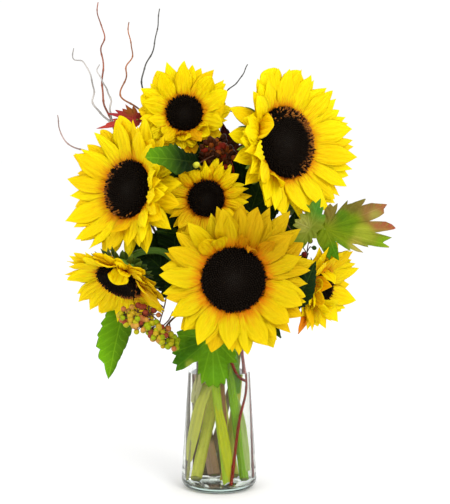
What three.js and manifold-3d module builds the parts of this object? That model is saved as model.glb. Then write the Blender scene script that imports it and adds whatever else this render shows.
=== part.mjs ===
// Seven sunflowers with autumn leaves, berries and willow twigs in a clear glass vase of water.
//
// Millimetres, +Z up. The origin is the middle of the vase's underside and -Y is the front. Every cut
// stem stands on the vase's floor, passes through the neck and carries its head, leaves or berries.

import * as THREE from 'three';
import { mergeVertices } from 'three/addons/utils/BufferGeometryUtils.js';
import Module from 'manifold-3d';

const wasm = await Module();
wasm.setup();

// ---------------------------------------------------------------------------------------------
// Driving dimensions
// ---------------------------------------------------------------------------------------------

// Clearance between two pieces that touch
const GAP = 0.3;
const HAIR = 0.03;

const VASE_HEIGHT = 150;
const VASE_BASE_RADIUS = 38;
const VASE_NECK_RADIUS = 29.2;
const VASE_WALL = 3;
const VASE_FLOOR = 6;
const VASE_OUTER_CORNER = 9;
const VASE_INNER_CORNER = 6;
const VASE_SIDES = 20;
const WATER_LEVEL = 118;

// Depths below the front of a head's disc, along the head's own axis
const DISC_BACK = 7;
const RING_FRONT = 1.5;
const RING_BACK = 6.5;
const RING_WIDTH = 3.5;
const CALYX_FRONT = DISC_BACK + GAP;
const CALYX_BACK = 24;

const BLADE_THICKNESS = 1.5;
const STEM_SIDES = 6;
const BRANCH_SIDES = 5;
const TWIG_SIDES = 4;
const STEPS_PER_BEND = 2;
const BRACTS = 6;

// Each sunflower. `centre` is the middle of the front of its disc; it faces the front turned to the
// right by `turn` degrees and up by `tilt`. `disc` is the disc's radius, `ray` the mean length of a
// petal, longer by the share `bias` on the side `toward` (degrees round the head, 0 = its right).
// `foot` and `neck` are where the stem stands and where it leaves the vase, and `bends` lead on.
// A leaf's points run from inside the stem to the leaf's tip.
const SUNFLOWERS = [
  {
    name: 'sunflower_top',
    centre: [-34, -5, 377], turn: 0, tilt: 15,
    disc: 19, rays: 22, ray: 26, rayWidth: 15, bias: 0.3, toward: 75, cup: 30,
    radius: 4, foot: [10, 10], neck: [-7, 9], bends: [[-13, 14, 225], [-28, 24, 312]],
    leaves: [
      { points: [[-20, 18, 262], [-24, 42, 292], [-20, 52, 330]], width: 34, face: [0, -1, 0.5] },
      { points: [[-13, 14, 222], [-14, 36, 240], [-14, 60, 230]], width: 32, face: [0, 0.5, 1] },
    ],
  },
  {
    name: 'sunflower_top_right',
    centre: [67, -25, 348], turn: 40, tilt: 8,
    disc: 37, rays: 26, ray: 37, rayWidth: 22.5, bias: 0.12, toward: -40, cup: 28,
    radius: 4.6, foot: [-20, -10], neck: [8, 3], bends: [[16, 6, 210], [34, 8, 290]],
    leaves: [
      { points: [[25, 7, 250], [30, -14, 278], [35, -30, 312]], width: 26, face: [0, -1, 0.3] },
      { points: [[30, 8, 272], [56, 34, 288], [84, 44, 268]], width: 40, face: [0, 0.5, 1] },
    ],
  },
  {
    name: 'sunflower_left',
    centre: [-89, -42, 303], turn: -38, tilt: 9,
    disc: 30, rays: 26, ray: 36, rayWidth: 21, bias: 0.12, toward: 190, cup: 26,
    radius: 4, foot: [-3, 13], neck: [-20, -6], bends: [[-30, -6, 190], [-56, -10, 255]],
    leaves: [
      { points: [[-30, -6, 190], [-72, 2, 212], [-97, -12, 184], [-108, -42, 118]], width: 45,
        face: [-0.2, -1, 0.3], petiole: 0.42, teeth: 9 },
      { points: [[-41, -8, 220], [-60, -14, 243], [-88, -18, 248]], width: 32, face: [0, -1, 0.4] },
      { points: [[-48, -9, 236], [-70, 4, 230], [-94, 24, 214]], width: 36, face: [0, 0.5, 1] },
    ],
  },
  {
    name: 'sunflower_front',
    centre: [14, -88, 220], turn: 0, tilt: 6,
    disc: 30.5, rays: 26, ray: 39, rayWidth: 21.5, bias: 0.05, toward: 0, cup: 24,
    radius: 4, foot: [22, -10], neck: [6.5, -20], bends: [[7, -24, 168], [9, -37, 204]],
    leaves: [],
    overhang: {
      petiole: [[6.8, -22, 160], [2, -34, 168], [-6, -40, 158]],
      face: [0, -1, 0.15],
      lobes: [
        { tip: [-5, -46, 108], via: [-2, -45, 134], width: 31 },
        { tip: [-42, -44, 124], via: [-26, -44, 144], width: 25 },
        { tip: [20, -48, 128], via: [10, -45, 142], width: 20 },
      ],
    },
  },
  {
    name: 'sunflower_middle',
    centre: [-12, -45, 294], turn: 0, tilt: 2,
    disc: 17.5, rays: 20, ray: 22, rayWidth: 14, bias: 0.12, toward: -80, cup: 22,
    radius: 3.5, foot: [6, -8], neck: [-1, -10], bends: [[-4, -12, 210]],
    leaves: [
      { points: [[-11, -12, 282], [-13, -19, 320], [-34, -70, 336], [-68, -97, 333]], width: 25,
        face: [0, -0.7, 0.8], petiole: 0.42, teeth: 7 },
      { points: [[-6, -12, 232], [-28, -22, 254], [-62, -30, 262]], width: 19, face: [0, -1, 0.6] },
    ],
  },
  {
    name: 'sunflower_lower_left',
    centre: [-95, -65, 215], turn: -36, tilt: -47,
    disc: 23, rays: 24, ray: 31, rayWidth: 17, bias: 0.16, toward: -90, cup: 20,
    radius: 4, foot: [8, -22], neck: [-8, -20], bends: [[-24, -24, 196], [-52, -32, 240]],
    leaves: [],
  },
  {
    name: 'sunflower_lower_right',
    centre: [101, -28, 205], turn: 51, tilt: -12,
    disc: 17, rays: 20, ray: 28, rayWidth: 15, bias: 0.12, toward: 50, cup: 24,
    radius: 3.5, foot: [4, 1], neck: [20, -6], bends: [[38, -6, 184]],
    leaves: [
      { points: [[44, -6.4, 190], [60, -26, 212], [86, -34, 236]], width: 25, face: [-0.3, -1, 0.2] },
      { points: [[28, -6, 168], [42, -24, 177], [61, -40, 158]], width: 21, face: [0, -1, 0.7] },
      { points: [[46, -6.2, 191], [66, 24, 198], [92, 36, 180]], width: 38, face: [0, 0.5, 1] },
    ],
  },
];

// Woody and red stems, thinner than the sunflowers'. `wet` bends lie between foot and neck
const VIBURNUM_BRANCH = {
  radius: 2.8, tipRadius: 1.1, foot: [-9, 23], neck: [17, 10],
  bends: [[50, 9, 206], [80, -10, 246], [92, -28, 262]],
};
const RED_LEAF_STEM = {
  radius: 1.8, tipRadius: 1, foot: [-17, 8], neck: [-16, 12],
  bends: [[-38, 16, 240], [-60, 17, 322], [-72, 13, 372]],
};
const BERRY_STEM = {
  radius: 1.6, tipRadius: 0.9, foot: [15, -19], neck: [15, -14],
  wet: [[16, -22.5, 74], [20.5, -16.5, 116]],
  bends: [[18, -12, 232], [14, -10, 322], [8, -22, 336], [2, -38, 338]],
};
const RIGHT_TWIG = {
  radius: 1.3, tipRadius: 0.8, foot: [26, 4], neck: [24, 2.5],
  bends: [[50, -1, 208], [74, -18, 232], [86, -31, 240]],
};
const LOWER_SPRAY = {
  radius: 1.6, tipRadius: 0.8, foot: [-27, -6], neck: [-17, -16],
  bends: [[-35, -30, 180], [-48, -46, 174], [-60, -59, 163], [-76, -60, 172]],
};

// Coloured leaves on those stems: lobes fan out from the end of the petiole
const AUTUMN_LEAF = {
  petiole: [[92, -28, 262], [98, -34, 263], [106, -38, 262]], face: [-0.1, -1, 0.2],
  lobes: [
    { tip: [177, -34, 264], via: [138, -40, 262], width: 26 },
    { tip: [160, -32, 289], via: [132, -38, 278], width: 24 },
    { tip: [123, -34, 290], via: [113, -37, 277], width: 19 },
    { tip: [154, -38, 242], via: [130, -42, 251], width: 25 },
    { tip: [117, -52, 235], via: [112, -46, 248], width: 21 },
  ],
};
const PALE_LEAF = {
  petiole: [[90, -25, 259], [91, -34, 262], [91, -42, 265]], face: [-0.1, -1, 0.1],
  lobes: [
    { tip: [99, -43, 292], via: [94, -44, 280], width: 19 },
    { tip: [76, -45, 272], via: [84, -45, 270], width: 13 },
    { tip: [74, -46, 237], via: [85, -47, 252], width: 14 },
  ],
};
const RED_LEAF = {
  petiole: [[-72, 13, 372], [-76, 8, 373], [-82, 4, 370]], face: [0, -1, 0.3],
  lobes: [
    { tip: [-116, -2, 354], via: [-100, 1, 364], width: 22 },
    { tip: [-98, 2, 382], via: [-89, 3, 377], width: 15 },
    { tip: [-93, -1, 354], via: [-87, 2, 362], width: 14 },
  ],
};
const BURGUNDY_LEAF = {
  petiole: [[14, -10, 322], [13, -6, 328], [13, -4, 334]], face: [0, -1, 0.1],
  lobes: [
    { tip: [2, 0, 369], via: [8, -1, 352], width: 19 },
    { tip: [29, 0, 342], via: [21, -2, 340], width: 15 },
  ],
};

// Berries: each cluster is a node of the twig, its number of berries, and how far they spread
const BERRY_RADIUS = 2.7;
const NODE_RADIUS = 1.9;
const LOWER_BERRIES = [
  { node: [-83, -60, 179], berries: 4, spread: 10 },
  { node: [-64, -60, 170], berries: 4, spread: 9 },
  { node: [-50, -57, 157], berries: 4, spread: 10 },
];
const CENTRE_BERRIES = [
  { node: [-6, -41, 342], berries: 4, spread: 9 },
  { node: [7, -39, 337], berries: 4, spread: 7 },
];
const RIGHT_BERRIES = [
  { node: [89, -35, 241], berries: 3, spread: 6 },
];

// Willow: bare twigs that part from a main stem
const WILLOW_GROUPS = [
  {
    name: 'willow_left', radius: 1.6, foot: [-22, 10], neck: [-22, 5],
    bends: [[-52, 18, 232], [-92, 20, 312], [-107, 14, 368]],
    twigs: [
      [[-107, 14, 368], [-115, 14, 386], [-117, 15, 402], [-116, 15, 430], [-118, 14, 442],
        [-114, 14, 453], [-121, 12, 475], [-120, 12, 487]],
      [[-106, 14, 366], [-120, 17, 378], [-127, 19, 388], [-126, 20, 400], [-130, 20, 417],
        [-137, 20, 429], [-146, 20, 431], [-146, 20, 442]],
      [[-106, 14, 366], [-109, 10, 378], [-108, 8, 390], [-115, 6, 407], [-121, 6, 419],
        [-119, 6, 425]],
      [[-93, 20, 314], [-112, 16, 332], [-131, 10, 339], [-145, 6, 343], [-155, 5, 351],
        [-159, 5, 362], [-161, 5, 375]],
    ],
  },
  {
    name: 'willow_middle', radius: 1.4, foot: [-13, 21], neck: [-12, 19],
    bends: [[-34, 26, 240], [-56, 28, 322], [-73, 23, 374]],
    twigs: [
      [[-73, 23, 374], [-84, 20, 384], [-99, 20, 394], [-93, 20, 415], [-93, 20, 424],
        [-87, 20, 434], [-88, 20, 446], [-91, 20, 458], [-90, 20, 468]],
      [[-73, 23, 374], [-75, 24, 391], [-78, 26, 408], [-75, 27, 424], [-68, 28, 437],
        [-62, 28, 464], [-60, 28, 482]],
    ],
  },
  {
    name: 'willow_right', radius: 1.2, foot: [0, 25], neck: [-2, 23.5],
    bends: [[2, 26, 260], [2, 21, 364]],
    twigs: [
      [[2, 21, 364], [2, 19, 387], [7, 20, 398], [20, 20, 410], [29, 20, 426]],
      [[2, 21, 362], [-4, 17, 373], [3, 16, 379], [12, 14, 379], [21, 12, 374], [24, 11, 369]],
    ],
  },
];

// ---------------------------------------------------------------------------------------------
// Materials
// ---------------------------------------------------------------------------------------------

function paint(color, roughness) {
  return new THREE.MeshStandardMaterial({ color, roughness, metalness: 0 });
}

const GLASS = paint(0xdce8e4, 0.05);
const WATER = paint(0xbfd6d8, 0.1);
const PETAL = paint(0xf6d606, 0.6);
const DISC = paint(0x2a1a12, 0.9);
const STEM = paint(0x6f9a32, 0.6);
const BARK = paint(0x7d5f47, 0.8);
const RED_BARK = paint(0x8a3b24, 0.6);
const WILLOW = paint(0x86716a, 0.8);
const AUTUMN = paint(0x8a8a2c, 0.6);
const PALE = paint(0xb4bd5e, 0.6);
const RED = paint(0xa2402f, 0.6);
const BURGUNDY = paint(0x5a1c20, 0.6);
const ORANGE_BERRY = paint(0xd07a3c, 0.4);
const DARK_BERRY = paint(0x7a1a1c, 0.4);

// ---------------------------------------------------------------------------------------------
// Shapes
// ---------------------------------------------------------------------------------------------

const vector = (xyz) => new THREE.Vector3(...xyz);

// A repeatable draw between 0 and 1 for item `i` of stream `k`
function draw(i, k) {
  const wave = Math.sin(i * 12.9898 + k * 78.233) * 43758.5453;
  return wave - Math.floor(wave);
}

// A closed three.js geometry as a solid; triangles that collapse at a pole are dropped
function solid(geometry) {
  const bare = geometry.clone();
  bare.deleteAttribute('normal');
  bare.deleteAttribute('uv');
  const merged = mergeVertices(bare, 1e-4);
  const corners = merged.index.array;
  const kept = [];
  for (let i = 0; i < corners.length; i += 3) {
    const [a, b, c] = corners.slice(i, i + 3);
    if (a !== b && b !== c && c !== a) {
      kept.push(a, b, c);
    }
  }
  return new wasm.Manifold(new wasm.Mesh({
    numProp: 3,
    vertProperties: new Float32Array(merged.attributes.position.array),
    triVerts: new Uint32Array(kept),
  }));
}

function fuse(solids) {
  return solids.reduce((whole, next) => whole.add(next));
}

// A named mesh of a solid; corners that the joins left closer than a hair are merged
function piece(name, shape, material) {
  const mesh = shape.simplify(HAIR).getMesh();
  const geometry = new THREE.BufferGeometry();
  geometry.setAttribute('position', new THREE.BufferAttribute(new Float32Array(mesh.vertProperties), 3));
  geometry.setIndex(new THREE.BufferAttribute(new Uint32Array(mesh.triVerts), 1));
  geometry.computeVertexNormals();
  const result = new THREE.Mesh(geometry, material);
  result.name = name;
  return result;
}

// A round solid about Z from [radius, height] pairs
function turned(profile, sides) {
  const points = profile.map(([radius, height]) => new THREE.Vector2(radius, height));
  return new THREE.LatheGeometry(points, sides).rotateX(Math.PI / 2);
}

// The unit frames along a chain of points, each turned as little as possible from the last
function framesAlong(points) {
  const last = points.length - 1;
  const first = points[1].clone().sub(points[0]).normalize();
  let across = Math.abs(first.x) > 0.8 ? new THREE.Vector3(0, 0, 1) : new THREE.Vector3(1, 0, 0);
  return points.map((point, i) => {
    const before = points[Math.max(i - 1, 0)];
    const after = points[Math.min(i + 1, last)];
    const along = after.clone().sub(before).normalize();
    across = across.clone().addScaledVector(along, -across.dot(along)).normalize();
    return { across, along, third: along.clone().cross(across).negate() };
  });
}

// A round rod through a chain of points, tapering evenly from one radius to the other
function rod(points, radius, tipRadius, sides) {
  const rows = points.length - 1;
  const geometry = new THREE.CylinderGeometry(1, 1, rows, sides, rows);
  const frames = framesAlong(points);
  const position = geometry.attributes.position;
  const spot = new THREE.Vector3();
  for (let i = 0; i < position.count; i += 1) {
    const row = Math.round(position.getY(i) + rows / 2);
    const size = THREE.MathUtils.lerp(radius, tipRadius, row / rows);
    spot.copy(points[row]);
    spot.addScaledVector(frames[row].across, position.getX(i) * size);
    spot.addScaledVector(frames[row].third, position.getZ(i) * size);
    position.setXYZ(i, ...spot);
  }
  return solid(geometry);
}

// A stem from its foot to the neck. A leaning foot is raised until its edge clears the floor
function wetRoute({ foot, neck, radius, wet = [] }) {
  const next = vector(wet.length > 0 ? wet[0] : [...neck, VASE_HEIGHT]);
  const start = vector([...foot, VASE_FLOOR + GAP]);
  const lean = Math.hypot(next.x - start.x, next.y - start.y) / next.distanceTo(start);
  start.z += radius * lean;
  return [start, ...wet.map(vector), vector([...neck, VASE_HEIGHT])];
}

// The chain of points of a cut stem: straight from its foot to the neck, then along its bends
function stemRoute(stem, ends = []) {
  const below = wetRoute(stem);
  const guide = [below[0], below[below.length - 1], ...stem.bends.map(vector), ...ends];
  const curve = new THREE.CatmullRomCurve3(guide);
  const steps = (guide.length - 1) * STEPS_PER_BEND;
  const above = [];
  for (let i = STEPS_PER_BEND + 1; i <= steps; i += 1) {
    above.push(curve.getPoint(i / steps));
  }
  return [...below, ...above];
}

// The plain hole that a stem's wet part leaves in the water, open below and above it
function stemHole(stem, sides) {
  const points = wetRoute(stem);
  points[0] = points[0].clone().addScaledVector(points[0].clone().sub(points[1]).normalize(), 3);
  return rod(points, stem.radius + GAP, stem.radius + GAP, sides);
}

// A thin blade with a lens section. `spine` gives its middle line, `face` the way its upper side
// looks, and each row its place `t` and half width `w`; it ends in a point
function blade(spine, face, rows, crease = 0, ripple = () => 0) {
  const up = vector(face).normalize();
  const corners = [];
  for (const { t, w } of rows) {
    const middle = spine.getPoint(t);
    const side = spine.getTangent(t).cross(up).normalize();
    const out = side.clone().cross(spine.getTangent(t)).normalize();
    const lift = crease * w;
    const half = BLADE_THICKNESS / 2;
    corners.push(middle.clone().addScaledVector(side, -w).addScaledVector(out, lift + ripple(t, -1)));
    corners.push(middle.clone().addScaledVector(out, half));
    corners.push(middle.clone().addScaledVector(side, w).addScaledVector(out, lift + ripple(t, 1)));
    corners.push(middle.clone().addScaledVector(out, -half));
  }
  corners.push(spine.getPoint(1));
  const faces = [1, 0, 3, 1, 3, 2];
  for (let row = 0; row < rows.length - 1; row += 1) {
    const [left, top, right, under] = [0, 1, 2, 3].map((corner) => 4 * row + corner);
    const [nextLeft, nextTop, nextRight, nextUnder] = [4, 5, 6, 7].map((corner) => 4 * row + corner);
    faces.push(left, top, nextTop, left, nextTop, nextLeft);
    faces.push(top, right, nextTop, right, nextRight, nextTop);
    faces.push(left, nextUnder, under, left, nextLeft, nextUnder);
    faces.push(under, nextUnder, right, right, nextUnder, nextRight);
  }
  const [left, top, right, under] = [0, 1, 2, 3].map((corner) => 4 * (rows.length - 1) + corner);
  const tip = corners.length - 1;
  faces.push(left, top, tip, top, right, tip, left, tip, under, under, tip, right);
  const geometry = new THREE.BufferGeometry().setFromPoints(corners);
  geometry.setIndex(faces);
  return solid(geometry);
}

// Half width of an oval leaf, widest a third of the way along
function oval(u) {
  return Math.sin(Math.PI * u ** 0.65) ** 0.9;
}

// A toothed leaf on its petiole: wider and narrower rows take turns
function toothedLeaf({ points, width, face, petiole = 0.25, teeth = 5 }) {
  const spine = new THREE.CatmullRomCurve3(points.map(vector));
  const rows = [{ t: 0, w: 1.4 }, { t: petiole, w: 1.6 }];
  for (let i = 0; i < teeth; i += 1) {
    const u = (i + 0.6) / teeth;
    const tooth = i % 2 === 0 ? 1.06 : 0.84;
    rows.push({ t: petiole + (1 - petiole) * u, w: (width / 2) * oval(u) * tooth });
  }
  return blade(spine, face, rows, 0.16, (t, side) => 1.4 * Math.sin(15 * t + side));
}

// A palmate leaf: toothed lobes that fan out from the end of the petiole
function lobedLeaf({ petiole, lobes, face }) {
  const stalk = petiole.map(vector);
  const joint = stalk[stalk.length - 1];
  const parts = lobes.map(({ tip, via, width }) => {
    const spine = new THREE.QuadraticBezierCurve3(joint, vector(via), vector(tip));
    const rows = [{ t: 0, w: width * 0.16 }];
    for (const [t, share] of [[0.36, 0.5], [0.6, 0.36], [0.8, 0.3]]) {
      rows.push({ t, w: width * share });
    }
    return blade(spine, face, rows, 0.1);
  });
  return fuse([rod(stalk, 1, 1.1, TWIG_SIDES), ...parts]);
}

// ---------------------------------------------------------------------------------------------
// Sunflower heads, in their own frame: Z is the way the head faces, X its right
// ---------------------------------------------------------------------------------------------

function headTurn({ turn, tilt }) {
  const { degToRad } = THREE.MathUtils;
  return new THREE.Euler(degToRad(90 - tilt), 0, degToRad(turn), 'ZXY');
}

function headMatrix(head) {
  const place = new THREE.Matrix4().makeRotationFromEuler(headTurn(head));
  return place.setPosition(vector(head.centre));
}

// The disc and the ring round it have the same number of sides, so that they fit
function headSides(head) {
  return head.disc > 25 ? 20 : 16;
}

// One petal: it leaves the ring at its own slope and curls a little more toward its tip.
// The front layer is cupped forward and the back layer lies flat between its petals.
function rayPetal(head, index) {
  const layer = index % 2;
  const step = (4 * Math.PI) / head.rays;
  const seed = head.disc + index;
  const azimuth = (Math.floor(index / 2) + layer / 2) * step + (draw(seed, 1) - 0.5) * 0.13;
  const toward = THREE.MathUtils.degToRad(head.toward);
  const reach = head.ray * (1 + head.bias * Math.cos(azimuth - toward)) * (0.9 + 0.16 * draw(seed, 2));
  const slope = (layer ? head.cup : 7) + 9 * (draw(seed, 3) - 0.5);
  const curl = slope + 16 * (draw(seed, 4) - 0.4);
  const heading = (degrees) => {
    const angle = THREE.MathUtils.degToRad(degrees);
    const out = Math.cos(angle);
    return new THREE.Vector3(Math.cos(azimuth) * out, Math.sin(azimuth) * out, Math.sin(angle));
  };
  const rootRadius = head.disc + RING_WIDTH * 0.55;
  const rootHeight = layer ? -3 : -5.4;
  const root = vector([Math.cos(azimuth) * rootRadius, Math.sin(azimuth) * rootRadius, rootHeight]);
  const middle = root.clone().addScaledVector(heading(slope), reach / 2);
  const tip = middle.clone().addScaledVector(heading(curl), reach / 2);
  const spine = new THREE.QuadraticBezierCurve3(root, middle, tip);
  const width = head.rayWidth * (0.9 + 0.16 * draw(seed, 5));
  const rows = [{ t: 0, w: width * 0.18 }, { t: 0.4, w: width * 0.48 }, { t: 0.78, w: width * 0.38 }];
  return blade(spine, [0, 0, 1], rows, 0.12);
}

function petals(head) {
  const inner = head.disc + GAP;
  const outer = head.disc + RING_WIDTH;
  const section = [
    [inner, -RING_BACK], [outer, -RING_BACK], [outer, -RING_FRONT], [inner, -RING_FRONT], [inner, -RING_BACK],
  ];
  const parts = [solid(turned(section, headSides(head)))];
  for (let i = 0; i < head.rays; i += 1) {
    parts.push(rayPetal(head, i));
  }
  return fuse(parts);
}

// The disc of florets: low in the middle, a raised band near the rim, and knobs all over
function disc(head) {
  const radius = head.disc;
  const sides = headSides(head);
  const profile = [[0, -DISC_BACK], [radius, -DISC_BACK], [radius, -1.5]];
  for (const [share, height] of [[0.9, 2.2], [0.72, 3.2], [0.5, 1.6], [0.28, 0.4], [0, 0.2]]) {
    profile.push([radius * share, height]);
  }
  const geometry = turned(profile, sides);
  const position = geometry.attributes.position;
  for (let i = 0; i < position.count; i += 1) {
    const across = Math.hypot(position.getX(i), position.getY(i));
    if (position.getZ(i) > 0 && across > 1) {
      const around = Math.atan2(position.getX(i), -position.getY(i));
      const spoke = Math.round((around * sides) / (2 * Math.PI));
      const ring = Math.round((across / radius) * 4.2);
      position.setZ(i, position.getZ(i) + ((spoke + ring) % 2 === 0 ? 0.9 : -0.4));
    }
  }
  return solid(geometry);
}

// The green cup behind the disc, with its pointed bracts
function calyx(head) {
  const rim = head.disc + RING_WIDTH - 0.5;
  const profile = [
    [0, -CALYX_BACK], [head.radius + 1, -CALYX_BACK], [rim * 0.55, -17.5], [rim, -10.5],
    [rim, -CALYX_FRONT], [0, -CALYX_FRONT],
  ];
  const parts = [solid(turned(profile, 12))];
  for (let i = 0; i < BRACTS; i += 1) {
    const azimuth = ((i + 0.3 * draw(i, head.disc)) * 2 * Math.PI) / BRACTS;
    const out = new THREE.Vector3(Math.cos(azimuth), Math.sin(azimuth), 0);
    const reach = 12 + 5 * draw(i, head.disc + 1);
    const root = out.clone().multiplyScalar(rim - 3).setZ(-11);
    const middle = out.clone().multiplyScalar(rim + reach * 0.5).setZ(-12);
    const tip = out.clone().multiplyScalar(rim + reach).setZ(-15 - 4 * draw(i, head.disc + 2));
    const rows = [{ t: 0, w: 3 }, { t: 0.45, w: 4.6 }];
    parts.push(blade(new THREE.QuadraticBezierCurve3(root, middle, tip), [0, 0, 1], rows, 0.1));
  }
  return fuse(parts);
}

// The stem with its calyx and leaves
function sunflowerStem(head) {
  const place = headMatrix(head);
  const behind = (depth) => new THREE.Vector3(0, 0, -depth).applyMatrix4(place);
  const route = stemRoute(head, [behind(CALYX_BACK + 10), behind(CALYX_FRONT + 5)]);
  const cup = calyx(head).transform(place.elements);
  const parts = [rod(route, head.radius, head.radius * 0.8, STEM_SIDES), cup];
  for (const leaf of head.leaves) {
    parts.push(toothedLeaf(leaf));
  }
  if (head.overhang) {
    parts.push(lobedLeaf(head.overhang));
  }
  return fuse(parts);
}

// ---------------------------------------------------------------------------------------------
// Berries, coloured leaves and twigs
// ---------------------------------------------------------------------------------------------

// A berry on its stalk, turned in one piece, from the twig at `from` toward `to`
function stalkedBerry(from, to, size) {
  const reach = from.distanceTo(to);
  const profile = [
    [0, 0], [0.5, 0], [0.5, reach - 0.95 * size], [0.9 * size, reach - 0.4 * size],
    [0.9 * size, reach + 0.45 * size], [0, reach + size],
  ];
  const lean = new THREE.Quaternion();
  lean.setFromUnitVectors(new THREE.Vector3(0, 0, 1), to.clone().sub(from).normalize());
  return solid(turned(profile, 5).applyQuaternion(lean).translate(...from));
}

// A cluster: berries on short stalks that leave the twig's node at turns of the golden angle
function berryCluster({ node, berries, spread }, seed) {
  const centre = vector(node);
  const parts = [solid(new THREE.OctahedronGeometry(NODE_RADIUS).translate(...centre))];
  for (let i = 0; i < berries; i += 1) {
    const angle = i * 2.4 + seed;
    const away = spread * (0.6 + 0.4 * draw(i, seed));
    const offset = new THREE.Vector3(Math.cos(angle), 0.35 * Math.sin(2 * angle), Math.sin(angle));
    const spot = centre.clone().addScaledVector(offset, away);
    parts.push(stalkedBerry(centre, spot, BERRY_RADIUS * (0.85 + 0.3 * draw(i, seed + 1))));
  }
  return fuse(parts);
}

// A berry-bearing stem: each cluster's node is joined to the stem by a thin twig
function spray(stem, clusters) {
  const route = stemRoute(stem);
  const parts = [rod(route, stem.radius, stem.tipRadius, BRANCH_SIDES)];
  clusters.forEach((cluster, i) => {
    const node = vector(cluster.node);
    const nearest = route.reduce((best, point) => (
      point.distanceTo(node) < best.distanceTo(node) ? point : best));
    parts.push(rod([nearest, node], 0.9, 0.8, TWIG_SIDES));
    parts.push(berryCluster(cluster, i + 5));
  });
  return fuse(parts);
}

function branch(stem) {
  return rod(stemRoute(stem), stem.radius, stem.tipRadius, BRANCH_SIDES);
}

// A coloured leaf whose petiole ends just short of the stem that carries it
function carriedLeaf(leaf, stem) {
  const route = stemRoute(stem);
  const end = route[route.length - 1];
  end.addScaledVector(end.clone().sub(route[route.length - 2]).normalize(), GAP);
  const seat = rod(route, stem.radius + GAP, stem.tipRadius + GAP, BRANCH_SIDES);
  const bodies = lobedLeaf(leaf).subtract(seat).decompose();
  return bodies.reduce((largest, body) => (body.volume() > largest.volume() ? body : largest));
}

function willow(group) {
  const parts = [rod(stemRoute(group), group.radius, group.radius * 0.75, TWIG_SIDES)];
  for (const twig of group.twigs) {
    parts.push(rod(twig.map(vector), group.radius * 0.7, 0.6, 3));
  }
  return fuse(parts);
}

// ---------------------------------------------------------------------------------------------
// Vase and water
// ---------------------------------------------------------------------------------------------

// Points of a quarter-round corner from below to the side
function corner(radius, height, size, steps) {
  const points = [];
  for (let i = 0; i <= steps; i += 1) {
    const angle = (i / steps) * (Math.PI / 2);
    points.push([
      radius - size + size * Math.sin(angle),
      height + size - size * Math.cos(angle),
    ]);
  }
  return points;
}

function vase() {
  const outside = corner(VASE_BASE_RADIUS, 0, VASE_OUTER_CORNER, 3);
  const inside = corner(VASE_BASE_RADIUS - VASE_WALL, VASE_FLOOR, VASE_INNER_CORNER, 2);
  const lip = [
    [VASE_NECK_RADIUS, VASE_HEIGHT - 1], [VASE_NECK_RADIUS - 0.8, VASE_HEIGHT],
    [VASE_NECK_RADIUS - VASE_WALL + 0.8, VASE_HEIGHT], [VASE_NECK_RADIUS - VASE_WALL, VASE_HEIGHT - 1],
  ];
  const profile = [[0, 0], ...outside, ...lip, ...inside.reverse(), [0, VASE_FLOOR]];
  return solid(turned(profile, VASE_SIDES));
}

function waterBody(holes) {
  const side = corner(VASE_BASE_RADIUS - VASE_WALL - GAP, VASE_FLOOR + GAP, VASE_INNER_CORNER, 2);
  const [widest, from] = side[side.length - 1];
  const narrowing = (widest + GAP - (VASE_NECK_RADIUS - VASE_WALL)) / (VASE_HEIGHT - 1 - from);
  const top = widest - narrowing * (WATER_LEVEL - from) - 0.1;
  const profile = [[0, VASE_FLOOR + GAP], ...side, [top, WATER_LEVEL], [0, WATER_LEVEL]];
  return holes.reduce((water, hole) => water.subtract(hole), solid(turned(profile, VASE_SIDES)));
}

// ---------------------------------------------------------------------------------------------
// The bouquet
// ---------------------------------------------------------------------------------------------

const bouquet = new THREE.Group();

const holes = [
  ...SUNFLOWERS.map((head) => stemHole(head, STEM_SIDES)),
  ...[VIBURNUM_BRANCH, RED_LEAF_STEM, BERRY_STEM, RIGHT_TWIG, LOWER_SPRAY].map(
    (stem) => stemHole(stem, BRANCH_SIDES)),
  ...WILLOW_GROUPS.map((group) => stemHole(group, TWIG_SIDES)),
];
bouquet.add(piece('vase', vase(), GLASS));
bouquet.add(piece('water', waterBody(holes), WATER));

for (const head of SUNFLOWERS) {
  const flower = new THREE.Group();
  flower.position.set(...head.centre);
  flower.rotation.copy(headTurn(head));
  flower.add(piece(`${head.name}_petals`, petals(head), PETAL));
  flower.add(piece(`${head.name}_disc`, disc(head), DISC));
  bouquet.add(flower);
  bouquet.add(piece(`${head.name}_stem`, sunflowerStem(head), STEM));
}

bouquet.add(piece('viburnum_branch', branch(VIBURNUM_BRANCH), BARK));
bouquet.add(piece('autumn_leaf', carriedLeaf(AUTUMN_LEAF, VIBURNUM_BRANCH), AUTUMN));
bouquet.add(piece('pale_leaf', carriedLeaf(PALE_LEAF, VIBURNUM_BRANCH), PALE));
bouquet.add(piece('red_leaf_stem', branch(RED_LEAF_STEM), RED_BARK));
bouquet.add(piece('red_leaf', carriedLeaf(RED_LEAF, RED_LEAF_STEM), RED));
bouquet.add(piece('centre_berries', spray(BERRY_STEM, CENTRE_BERRIES), DARK_BERRY));
bouquet.add(piece('burgundy_leaf', carriedLeaf(BURGUNDY_LEAF, BERRY_STEM), BURGUNDY));
bouquet.add(piece('right_berries', spray(RIGHT_TWIG, RIGHT_BERRIES), DARK_BERRY));
bouquet.add(piece('lower_berries', spray(LOWER_SPRAY, LOWER_BERRIES), ORANGE_BERRY));
for (const group of WILLOW_GROUPS) {
  bouquet.add(piece(group.name, willow(group), WILLOW));
}

export default bouquet;
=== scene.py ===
"""Sunflowers, autumn leaves, berries and willow twigs in a clear glass vase of water.

Lengths in this file are in millimetres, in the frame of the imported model: +Z up, -Y the front. A mesh is
turned into metres when it is made. Each shape is a surface of two parameters worked out with numpy.
"""

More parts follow.
